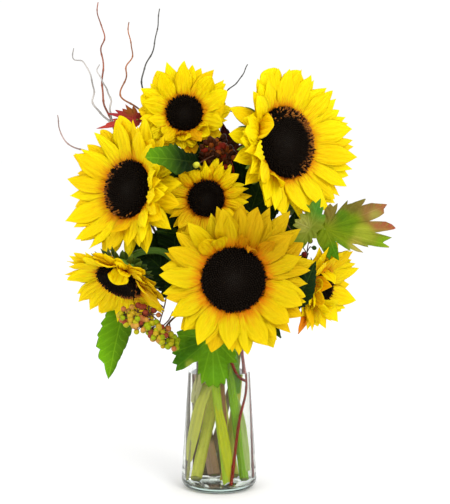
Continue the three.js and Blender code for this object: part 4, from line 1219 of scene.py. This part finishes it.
def torn_base(shape, base):
    """A torn leaf base that clings to its stem: a ribbed blade as wide as the root of a sine, ragged at
    its lower end."""
    rows, steps = TORN_GRID
    t = np.linspace(0, 1, rows)
    spine = through(base["points"], t)[None]
    v, _ = across_columns(steps)
    torn = 1 - 0.3 * draw(np.floor(v * 5), 4) * smooth(t, 0.75, 1)[:, None]
    half = base["width"] / 2 * np.sqrt(np.sin(np.pi * (0.04 + 0.88 * t)))[:, None] * torn
    half = np.maximum(half, 0.6)[None]
    ribs = 0.3 * np.cos(2.6 * np.pi * v + 0.7) * (0.6 + 0.4 * np.sin(5 * t)[:, None])
    lift = ribs - 0.12 * half * np.abs(v) ** 2
    rings = blades(spine, unit(np.array(base["face"])), half, TORN_THICKNESS, steps, lift)
    # Painted light and shade: lighter on the ribs and darker in the furrows between them.
    tint = base["colour"] * (1 + 0.26 * ribs)[None, ..., None] * (0.88 + 0.12 * t[None, :, None, None])
    shape.grid(rings, spine[:, 0], spine[:, -1], tint, flat_places(v * half, 110 * t[None, :, None]))


def stalk_piece(name, head, skin):
    """The green stem: a ribbed rod from its slanting cut foot to the calyx, with painted shade in its
    grooves, and with the torn leaf bases on it."""
    shape = Shape()
    behind = in_head(head, np.array([(0, 0, -CALYX_BACK - 10.0), (0, 0, -CALYX_BACK + 2.0)]))
    path = stem_route(head, list(behind))
    share = np.linspace(0, 1, len(path))
    radius = head["radius"] * (1 - 0.2 * share) * (1 + 0.03 * np.sin(share * 40))
    corners, faces, flat = tube(path, radius, STALK_SIDES, ridges=9, ridge_depth=0.07, cut=0.9)
    # Under water the colour is partly the stem's own paler colour and partly painted light.
    tint = stem_tint(WET_STEMS_AND_LIT.get(name, STEM_WET_AND_LIT), STEM_GREEN)(corners[..., 2])
    # Painted shade: darker in the grooves between the ribs.
    around = np.arange(len(tint[0]) - 2) % STALK_SIDES
    groove = 0.5 - 0.5 * np.cos(9 * around * 2 * np.pi / STALK_SIDES)
    tint[:, :-2] *= (1 - 0.2 * groove * draw(around, head["disc"]))[None, :, None]
    tint[:, -2] = CUT_END
    if name in BRUISES:
        place, size = BRUISES[name]
        tint *= 1 - 0.75 * np.exp(-((corners[..., 2:] - place) / size) ** 4)
    shape.add(corners, faces, tint, flat)
    for base in WET_BLADES.get(name, []):
        torn_base(shape, base)
    return shape.piece(f"{name}_stalk", [skin], "stem", f"{name}_stem")


# ---- Leaves --------------------------------------------------------------


def toothed_leaf(shape, leaf, seed):
    """A leaf on its stalk. Its half width is a power of a sine, or its outline's, cut by teeth that
    point forward. It is folded along the midrib, waved, and puffed between side veins that leave the
    midrib aslant."""
    share = leaf.get("share", 0.25)
    rows, steps = LEAF_GRID
    t = np.linspace(0, 0.995, rows)
    points = np.array(leaf["points"], float)
    spine = through(points, t)[None]
    u = np.clip((t - share) / (1 - share), 0, 1)
    v, side = across_columns(steps)
    place = u[:, None] * TEETH + 0.35 * np.sign(v) + 0.3 * draw(np.floor(u * TEETH)[:, None], seed)
    bite = (0.09 + leaf.get("ragged", 0.05) * (v > 0)) * (0.6 + 0.8 * draw(np.floor(place), seed + 1))
    tooth = 1 - bite * (1 - place % 1) ** 1.3 * smooth(u, 0.06, 0.2)[:, None]
    body = (leaf["width"] / 2 * np.sin(np.pi * np.maximum(u, 1e-4) ** 0.65) ** 0.9)[:, None]
    if "outline" in leaf:
        places, first, second = np.array(leaf["outline"], float).T
        body = np.where(v > 0, np.interp(u, places, first)[:, None], np.interp(u, places, second)[:, None])
    half = np.maximum(np.where(u[:, None] > 0, body * tooth, 0), 1.1)[None]
    half[:, -1] = 0.5
    lengths = lengths_along(spine[0])[None, :, None]
    across = np.abs(v) * half
    gap, forward = TOOTHED_VEINS
    veins = np.cos(2 * np.pi * (lengths - forward * across) / gap)
    lift = 0.16 * across + 1.3 * np.sin(15 * t + seed)[None, :, None] * v**2
    lift = lift - 0.5 * veins * smooth(across, 0.8, 4) * (u > 0)[None, :, None]
    thick = np.where(u > 0.02, LEAF_THICKNESS, LEAF_STALK)[None, :, None]
    rings = blades(spine, unit(np.array(leaf["face"], float)), half, thick, steps, lift)
    # Painted shade and light: a low `bright` darkens the green as shade deep in the bouquet, `tip` and the
    # rise along the blade lighten it toward the tip, and one half is lit and the other shaded.
    bright = leaf.get("bright", 0.08)
    green = mixed(LEAF_SHADED, LEAF_GREEN, bright + leaf.get("tip", 0) * smooth(u, 0.45, 1))[None, :, None]
    tint = np.where(side[:, None] >= 0, green, 0.6 * green + (0.1 + 0.3 * bright) * LEAF_PALE)
    tint = tint * (0.85 + 0.3 * u[None, :, None, None]) * (1 + leaf.get("uneven", 0.12) * v[:, None])
    shape.grid(rings, spine[:, 0], through(points, np.array([1.0])), tint, flat_places(v * half, lengths))


def leaves_piece(name, leaves, seed, skin):
    """All the toothed leaves of a sunflower's stem."""
    shape = Shape()
    for number, leaf in enumerate(leaves):
        toothed_leaf(shape, leaf, number + seed)
    return shape.piece(f"{name}_leaves", [skin], "stem", f"{name}_stem")


def lobed_piece(name, leaf, seed, skin, made, slot, node):
    """A palmate leaf on its stalk. Its edge is a distance for each direction about the stalk's end,
    straight between tooth tips and notches. The blade runs out to that edge in a polar grid, folds up
    along each lobe's vein, puffs between side veins and sags by `height`."""
    shape = Shape()
    stalk = np.array(leaf["stalk"], float)
    joint = stalk[-1]
    facing = unit(np.array(leaf["face"], float))
    right = unit(np.cross([0.0, 0, 1], facing))
    upward = np.cross(facing, right)
    edge = np.array(sorted((angle % 360, reach) for angle, reach in leaf["edge"]), float)
    rows, columns = LOBED_GRID
    angle = np.arange(columns) * 360 / columns
    reach = np.interp(angle, edge[:, 0], edge[:, 1], period=360) * leaf.get("size", 1)
    turn = (angle[:, None] - np.array(leaf["lobes"], float) + 180) % 360 - 180
    nearest = np.argmin(np.abs(turn), axis=1)
    off = np.radians(turn[np.arange(columns), nearest])
    share = ((np.arange(rows) + 1) / rows)[:, None]
    distance = share * reach
    across, along = distance * np.sin(off), distance * np.cos(off)
    gap, forward = LOBED_VEINS
    veins = np.cos(2 * np.pi * (along - forward * np.abs(across)) / gap) * smooth(np.abs(across), 0.6, 3)
    wave = 0.05 * distance * np.sin(np.radians(angle) * 5 + seed) * share
    height = leaf["height"] * distance**2 / 30 + 0.1 * np.abs(across) - 0.42 * veins + wave
    radians = np.radians(angle)
    place = np.stack([distance * np.cos(radians), distance * np.sin(radians)], axis=-1)
    middle = joint + place[..., :1] * right + place[..., 1:] * upward
    thin = 0.24 * np.sqrt(1 - 0.97 * share**2)
    above, below = (middle + (height + raised)[..., None] * facing for raised in (thin, -thin))
    over = LEAF_COLOURS[name](place, distance)
    under = 0.55 * over + 0.45 * LEAF_PALE * 0.8
    flat = flat_places(across, along)
    pairs = (above, below), (over, under), (flat, flat)
    rings, tint, flat = (np.concatenate([upper, lower[::-1]])[None] for upper, lower in pairs)
    shape.grid(rings, joint + 0.24 * facing, joint - 0.24 * facing, tint, flat)
    shape.rod(evenly(stalk, 1.2), 0.9, 10, mixed(LEAF_PALE, STEM_GREEN, 0.4))
    return shape.piece(made, [skin], slot, node)


def zones(centre, spots):
    """A colour rule for a lobed leaf: the centre's colour, turning into each spot's colour near it."""
    def rule(place, distance):
        tint = np.broadcast_to(centre, (*distance.shape, 3))
        for x, y, radius, colour in spots:
            near = 1 - smooth(np.hypot(place[..., 0] - x, place[..., 1] - y), 0.25 * radius, radius)
            tint = tint * (1 - near[..., None]) + colour * near[..., None]
        return tint
    return rule


LEAF_COLOURS = {
    "overhang_leaf": zones(light(104, 158, 8), [
        (-20, -8, 14, light(70, 120, 4)), (-34, -22, 20, light(70, 124, 4)),
        (-22, -26, 7, light(168, 186, 60)), (4, -36, 14, light(110, 168, 20)),
    ]),
    "autumn_leaf": zones(light(126, 146, 10), [
        (6, 22, 24, light(128, 112, 40)), (26, 24, 16, light(118, 108, 36)),
        (44, 22, 18, light(146, 112, 56)), (64, 24, 20, light(176, 108, 64)),
        (58, 6, 30, light(170, 104, 62)), (70, 2, 18, light(180, 88, 62)),
        (58, -14, 20, light(134, 168, 18)), (40, -6, 14, light(150, 160, 36)),
        (66, -16, 9, light(196, 190, 50)), (34, -22, 12, light(176, 156, 86)),
        (10, -26, 20, light(84, 140, 6)), (20, 6, 16, light(104, 136, 6)),
        (36, -3, 13, light(164, 172, 44)), (29, -14, 10, light(184, 172, 60)),
        (16, 14, 9, light(92, 128, 10)), (48, 14, 10, light(170, 156, 70)),
    ]),
    "pale_leaf": zones(light(136, 148, 40), [
        (12, 22, 20, light(86, 146, 40)), (-16, -26, 20, light(88, 146, 30)),
        (-8, 4, 12, light(172, 170, 76)),
    ]),
    "red_leaf": zones(light(172, 58, 46), [
        (-30, -6, 14, light(196, 70, 56)), (-14, -10, 9, light(196, 96, 26)),
        (-6, 11, 10, light(150, 84, 24)), (-22, 8, 9, light(176, 54, 56)), (4, 2, 8, light(150, 46, 36)),
    ]),
    "burgundy_leaf": zones(light(86, 22, 18), [
        (-8, 32, 20, light(60, 12, 14)), (14, 8, 14, light(112, 40, 26)), (2, 14, 9, light(70, 40, 18)),
    ]),
}


# ---- Berries, branches and twigs -----------------------------------------


def add_berries(shape, clusters, palette, berry, lengthen, dense_first):
    """Berries on thin stalks that leave each node at turns of the golden angle. A berry is a ball with
    a small dark scar at its end: its radius is a half circle's, stretched along the stalk. The first
    few of a cluster reach out as far as its spread, and the rest fill it."""
    rows, sides = BERRY_GRID
    polar = np.linspace(0.12, np.pi - 0.12, rows)
    for number, row in enumerate(clusters):
        index = np.arange(row["berries"])
        seed = number + 5
        angle = index * 2.4 + seed
        away = row["spread"] * (0.6 + 0.4 * draw(index, seed))
        away = away * np.where(index < dense_first, 1.0, 0.55 + 0.45 * draw(index, seed + 3))
        deep = 0.35 * np.sin(2 * angle) - 0.25 * (index >= dense_first)
        node = row["node"]
        centre = node + np.stack([np.cos(angle), deep, np.sin(angle)], axis=1) * away[:, None]
        size = berry * (0.82 + 0.3 * draw(index, seed + 1))[:, None]
        axis = unit(centre - node)
        heights, widths = -np.cos(polar) * size * lengthen, np.sin(polar) * size
        rings, around = rings_round(centre, axis, [0.2, 0.3, 0.93], heights, widths, sides)
        pick = draw(index, seed + 7) ** row["green"]
        colour = palette[(pick * len(palette)).astype(int) % len(palette)]
        if row["colour"] is not None:
            colour = np.broadcast_to(row["colour"], colour.shape)
        # Painted light and shade: each berry is lighter on its upper side and darker below.
        lit_top = smooth(rings[..., 2] - centre[:, None, None, 2], -2.0, 3.0)[..., None]
        tint = colour[:, None, None] * (0.8 + 0.35 * lit_top)
        tint[:, -1] *= 0.25
        shape.add(
            with_poles(rings, centre - axis * (size * lengthen), centre + axis * (size * lengthen * 0.96)),
            tube_faces(rows, sides),
            with_poles(tint, tint[:, 0, 0], 0.2 * tint[:, -1, 0]),
        )
        sag = np.array([0, 0, -0.12]) * away[:, None]
        start = np.broadcast_to(node, centre.shape)
        spine = bezier(start, (node + centre) / 2 + sag, centre, np.linspace(0, 1, 5))
        shape.grid(spine[:, :, None] + around * 0.45, spine[:, 0], spine[:, -1], STALKLET, slot=1)


def spray_piece(node, stem, clusters, palette, skins, slot, lengthen=1.0, dense_first=4):
    """A berry-bearing stem, the side twigs to its nodes, and the berries."""
    shape = Shape()
    bark = stem["bark"]
    add_berries(shape, clusters, palette, stem["berry"], lengthen, dense_first)
    path = stem_route(stem)
    share, radius = tapered(path, stem["radius"], stem["tip_radius"])
    # Under water the stem is paler, partly its own colour and partly painted light.
    tint = stem_tint(stem.get("soaked_and_lit", bark), bark * 0.8)
    shape.rod(path, radius * knots(share, 9, 0.22, 14), 14, tint, slot=1, cut=0.7)
    for kind, girth in (("net", 0.65), ("stubs", 1.4)):
        for twig in stem.get(kind, []):
            shape.rod(evenly(twig, 1.5), girth, 10, bark * 0.8, slot=1)
    for row in clusters:
        end = row["node"]
        nearest = path[np.argmin(np.linalg.norm(path - end, axis=1))]
        if np.linalg.norm(nearest - end) > 1.5:
            girth, tone = (0.5, STALKLET) if row["berries"] == 1 else (0.75, bark * 0.9)
            twig = evenly([nearest, (nearest + end) / 2 + [0, 0, 0.8], end], 1.5)
            shape.rod(twig, girth, 10, tone, slot=1)
    return shape.piece(f"{node}_spray", skins, slot, node)


def branch_piece(name, node, stem, skin, slot):
    """A bare cut stem with swollen joints and a slanting foot."""
    shape = Shape()
    path = stem_route(stem)
    share, radius = tapered(path, stem["radius"], stem["tip_radius"])
    radius = radius * (knots(share, 7, 0.16, 12) + 0.04 * np.sin(share * 90))
    # Under water the wood is paler, partly its own colour and partly painted light.
    tint = stem_tint(0.5 * stem["bark"] + 0.5 * WET_WOOD_AND_LIT, stem["bark"])
    shape.rod(path, radius, 18, tint, ridges=5, ridge_depth=0.05, cut=0.5)
    return shape.piece(name, [skin], slot, node)


def willow_piece(name, group, skin):
    """A willow stem and the curly twigs that leave it, thinner to their tips, with small buds."""
    shape = Shape()
    path = stem_route(group)
    _, radius = tapered(path, group["radius"], 0.75 * group["radius"])
    # Under water the willow is paler, partly its own colour and partly painted light.
    shape.rod(path, radius, 12, stem_tint(0.6 * WET_WOOD_AND_LIT, WILLOW_BARK), cut=0.8)
    for number, (twig, colour) in enumerate(zip(group["twigs"], group["colours"])):
        path = evenly(twig, 1.2)
        share, radius = tapered(path, group["radius"] * 0.68, 0.52)
        wobble = np.stack([np.sin(share * 31 + number), np.cos(share * 27 + number), 0 * share], axis=1)
        path = path + wobble * 0.35 * np.minimum(share * 8, 1)[:, None]
        corners, faces, flat = tube(path, radius * knots(share, 8, 0.35, 16), 10)
        shape.add(corners, faces, TWIGS[colour] * (1 + 0.3 * np.sin(corners[..., 2:] * 0.21 + number)), flat)
    return shape.piece(f"{name}_twigs", [skin], "willow", name)


# ---- Vase and water ------------------------------------------------------


def rounded_corner(radius, height, size, steps=10):
    """A quarter round from below to the side, as [radius, height] pairs."""
    angle = np.linspace(0, np.pi / 2, steps)
    return list(zip(radius - size + size * np.sin(angle), height + size - size * np.cos(angle)))


def stepped(profile, spacing):
    """The profile with rows added, so that shading normals bend only beside its corners."""
    profile = np.asarray(profile, float)
    rows = [profile[:1]]
    for start, end in zip(profile[:-1], profile[1:]):
        length = np.linalg.norm(end - start)
        shares = [1]
        if length > 2 * spacing:
            inner = np.arange(1, int(length / spacing)) * spacing / length
            shares = [BESIDE_CORNER / length, *inner, 1 - BESIDE_CORNER / length, 1]
        rows.append(start + np.array(shares)[:, None] * (end - start))
    return np.vstack(rows)


def turned_piece(name, profile, skin, slot, node):
    """A clear piece turned from its profile."""
    shape = Shape()
    shape.add(*turned(stepped(profile, 3), TURNED_SIDES), (1, 1, 1))
    return shape.piece(name, [skin], slot, node)


def vase_piece(settings, skin):
    """The vase: outside, rounded lip and inside as one turned profile, with a slightly domed base."""
    wall, floor = settings.wall / MM, settings.floor / MM
    outside = rounded_corner(VASE_BASE_RADIUS, 0, FOOT_ROUND)
    angle, round_lip = np.linspace(0, np.pi, 9), wall / 2
    across, up = round_lip * np.cos(angle), round_lip * np.sin(angle)
    lip = list(zip(VASE_NECK_RADIUS - round_lip + across, VASE_TOP - round_lip + up))
    inside = rounded_corner(VASE_BASE_RADIUS - wall, floor, INNER_ROUND)[::-1]
    profile = [(0.4, 0.8), (14, 0.5), (22, 0.0)] + outside[1:] + lip + inside + [(0.4, floor)]
    return turned_piece("glass_vase", profile, skin, "glass", "vase")


def water_piece(settings, skin):
    """The water: it wets the glass, so its side lies a hair inside the wall, and its top curls up there."""
    wall, floor = settings.wall / MM, settings.floor / MM
    side = rounded_corner(VASE_BASE_RADIUS - wall + WETTING, floor - WETTING, INNER_ROUND)
    narrowing = (VASE_BASE_RADIUS - VASE_NECK_RADIUS) / (VASE_TOP - VASE_FLOOR - FOOT_ROUND)
    top = VASE_BASE_RADIUS - wall + WETTING - narrowing * (WATER_TOP - 12)
    surface = [(top, WATER_TOP - 0.5), (top - 0.15, WATER_TOP - 0.15), (top - 0.5, WATER_TOP)]
    profile = [(0.4, floor - WETTING)] + side + surface + [(0.4, WATER_TOP)]
    return turned_piece("vase_water", profile, skin, "water", "water")


# ---- Settings that a user would change -----------------------------------


def colour_setting(name, description, default):
    return bpy.props.FloatVectorProperty(
        name=name, description=description, default=default, min=0, max=1, subtype="COLOR")


class SUNFLOWER_PG_vase(bpy.types.PropertyGroup):
    wall: bpy.props.FloatProperty(
        name="Wall", description="Thickness of the glass wall", default=3 * MM, min=MM, unit="LENGTH")
    floor: bpy.props.FloatProperty(
        name="Floor", description="Thickness of the glass floor", default=VASE_FLOOR * MM, min=MM,
        unit="LENGTH")
    glass: colour_setting("Glass", "Colour that the glass turns light to along its way", (0.5, 0.76, 0.66))
    water: colour_setting("Water", "Colour that the water turns light to along its way", (0.97, 0.98, 0.8))


class SUNFLOWER_PG_studio(bpy.types.PropertyGroup):
    key: bpy.props.FloatProperty(
        name="Key light", description="Power of the main light", default=20.0, min=0, unit="POWER")
    fill: bpy.props.FloatProperty(
        name="Fill light", description="Power of the light from the left", default=7.0, min=0, unit="POWER")
    sky: bpy.props.FloatProperty(
        name="Surround", description="Brightness of the white surround", default=1.03, min=0)
    floor: colour_setting("Floor", "Colour of the floor", (0.985, 0.985, 0.985))


class SUNFLOWER_OT_vase(bpy.types.Operator):
    """Make the glass vase and the water in it"""
    bl_idname = "sunflowers.vase"
    bl_label = "Make Vase"

    def execute(self, context):
        settings = context.scene.sunflower_vase
        vase_piece(settings, glass_finish("clear_glass", settings.glass, index=1.5, density=13.0))
        water_piece(settings, glass_finish("still_water", settings.water, index=1.333, density=8.0))
        return {"FINISHED"}


class SUNFLOWER_OT_petals(bpy.types.Operator):
    """Make the ray petals of every sunflower"""
    bl_idname = "sunflowers.petals"
    bl_label = "Make Petals"

    def execute(self, context):
        skin = petal_finish()
        for name, head in HEADS.items():
            petals_piece(name, head, skin)
        return {"FINISHED"}


class SUNFLOWER_OT_discs(bpy.types.Operator):
    """Make the disc of florets of every sunflower"""
    bl_idname = "sunflowers.discs"
    bl_label = "Make Discs"

    def execute(self, context):
        skin = floret_finish()
        for name, head in HEADS.items():
            floret_piece(name, head, skin)
        return {"FINISHED"}


class SUNFLOWER_OT_stems(bpy.types.Operator):
    """Make the stem, calyx and leaves of every sunflower"""
    bl_idname = "sunflowers.stems"
    bl_label = "Make Stems"

    def execute(self, context):
        stem, leaf = stem_finish(), leaf_finish("sunflower_leaf", LEAF_PALE, gap=0.85, shine=0.42)
        for name, head in HEADS.items():
            stalk_piece(name, head, stem)
            calyx_piece(name, head, stem)
            if STEM_LEAVES[name]:
                leaves_piece(name, STEM_LEAVES[name], head["disc"], leaf)
        name = "overhang_leaf"
        skin = leaf_finish(f"{name}_skin", LEAF_PALE, gap=0.6, shine=0.36, side=0.22, shown=0.6)
        lobed_piece(name, LOBED_LEAVES[name], 1.0, skin, name, "stem", "sunflower_front_stem")
        return {"FINISHED"}


class SUNFLOWER_OT_branches(bpy.types.Operator):
    """Make the woody branch, the red stem and their coloured leaves"""
    bl_idname = "sunflowers.branches"
    bl_label = "Make Branches"

    def execute(self, context):
        bark = bark_finish()
        branch_piece("viburnum_wood", "viburnum_branch", VIBURNUM_BRANCH, bark, "bark")
        branch_piece("red_leaf_twig", "red_leaf_stem", RED_LEAF_STEM, bark, "red_bark")
        for number, name in enumerate(["autumn_leaf", "pale_leaf", "red_leaf", "burgundy_leaf"]):
            joint = LEAF_COLOURS[name](np.zeros((1, 2)), np.zeros(1))[0]
            vein = mixed(joint, VEINS.get(name, LEAF_PALE), 0.5)
            skin = leaf_finish(f"{name}_skin", vein, gap=0.6, shine=0.4, side=0.25, shown=0.3)
            lobed_piece(name, LOBED_LEAVES[name], number * 1.7, skin, f"{name}_blade", name, name)
        return {"FINISHED"}


class SUNFLOWER_OT_berries(bpy.types.Operator):
    """Make the three sprays of berries"""
    bl_idname = "sunflowers.berries"
    bl_label = "Make Berries"

    def execute(self, context):
        skins = [berry_finish(), bpy.data.materials["twig_bark"]]
        spray_piece("lower_berries", LOWER_SPRAY, LOWER_BERRIES, ORANGE_BERRIES, skins, "orange_berries")
        spray_piece("centre_berries", BERRY_STEM, CENTRE_BERRIES, DARK_BERRIES, skins, "dark_berries",
                    lengthen=1.25)
        spray_piece("right_berries", RIGHT_TWIG, RIGHT_BERRIES, MIXED_BERRIES, skins, "dark_berries",
                    lengthen=1.1, dense_first=3)
        return {"FINISHED"}


class SUNFLOWER_OT_willow(bpy.types.Operator):
    """Make the curly willow twigs"""
    bl_idname = "sunflowers.willow"
    bl_label = "Make Willow"

    def execute(self, context):
        for name, group in WILLOW.items():
            willow_piece(name, group, bpy.data.materials["twig_bark"])
        return {"FINISHED"}


def aimed(scene, name, data, place, target):
    """A lamp or a camera at its place in the scene, turned to its target."""
    made = bpy.data.objects.new(name, data)
    made.location = place
    made.rotation_euler = (Vector(target) - Vector(place)).to_track_quat("-Z", "Y").to_euler()
    scene.collection.objects.link(made)
    return made


class SUNFLOWER_OT_stage(bpy.types.Operator):
    """Make the floor, the soft studio light and the camera"""
    bl_idname = "sunflowers.stage"
    bl_label = "Make Stage"

    def execute(self, context):
        scene, studio = context.scene, context.scene.sunflower_studio
        bpy.ops.mesh.primitive_plane_add(size=FLOOR_SIZE, location=(0, 0, 0))
        floor = context.object
        floor.name = "studio_floor"
        paper = Finish("studio_paper")
        grain = paper.noise(paper.place(), 40.0)
        shade = paper.blend(paper.between(grain, 0.3, 0.7, 0, 0.05), studio.floor, (0.97, 0.97, 0.97))
        paper.set(Base_Color=shade, Roughness=0.9)
        floor.data.materials.append(paper.material)

        world = bpy.data.worlds.new("white_surround")
        scene.world = world
        world.use_nodes = True
        surround = world.node_tree.nodes["Background"]
        surround.inputs[0].default_value = (1, 1, 1, 1)
        surround.inputs[1].default_value = studio.sky

        for name, (place, size, power) in LAMPS.items():
            lamp = bpy.data.lights.new(name, "AREA")
            lamp.size, lamp.energy = size, getattr(studio, power)
            aimed(scene, name, lamp, place, LAMP_TARGET)

        camera = bpy.data.cameras.new("camera")
        camera.sensor_width, camera.lens = SENSOR, SENSOR * FOCAL_PIXELS / PICTURE_PIXELS
        scene.camera = aimed(scene, "camera", camera, CAMERA_PLACE, CAMERA_TARGET)
        scene.view_settings.view_transform = "Standard"
        return {"FINISHED"}


STEPS = [
    SUNFLOWER_OT_stage, SUNFLOWER_OT_vase, SUNFLOWER_OT_petals, SUNFLOWER_OT_discs, SUNFLOWER_OT_stems,
    SUNFLOWER_OT_branches, SUNFLOWER_OT_berries, SUNFLOWER_OT_willow,
]


class SUNFLOWER_PT_panel(bpy.types.Panel):
    """The settings and the steps, in order"""
    bl_label = "Sunflowers in a Vase"
    bl_idname = "SUNFLOWER_PT_panel"
    bl_space_type = "VIEW_3D"
    bl_region_type = "UI"
    bl_category = "Sunflowers"

    def draw(self, context):
        for group in (context.scene.sunflower_vase, context.scene.sunflower_studio):
            for name in group.__annotations__:
                self.layout.prop(group, name)
        for step in STEPS:
            self.layout.operator(step.bl_idname)


CLASSES = [SUNFLOWER_PG_vase, SUNFLOWER_PG_studio, *STEPS, SUNFLOWER_PT_panel]


def register():
    for made in CLASSES:
        bpy.utils.register_class(made)
    bpy.types.Scene.sunflower_vase = bpy.props.PointerProperty(type=SUNFLOWER_PG_vase)
    bpy.types.Scene.sunflower_studio = bpy.props.PointerProperty(type=SUNFLOWER_PG_studio)


def unregister():
    del bpy.types.Scene.sunflower_vase
    del bpy.types.Scene.sunflower_studio
    for made in reversed(CLASSES):
        bpy.utils.unregister_class(made)


def main():
    register()
    for step in STEPS:
        group, name = step.bl_idname.split(".")
        getattr(getattr(bpy.ops, group), name)()


if __name__ == "__main__":
    main()
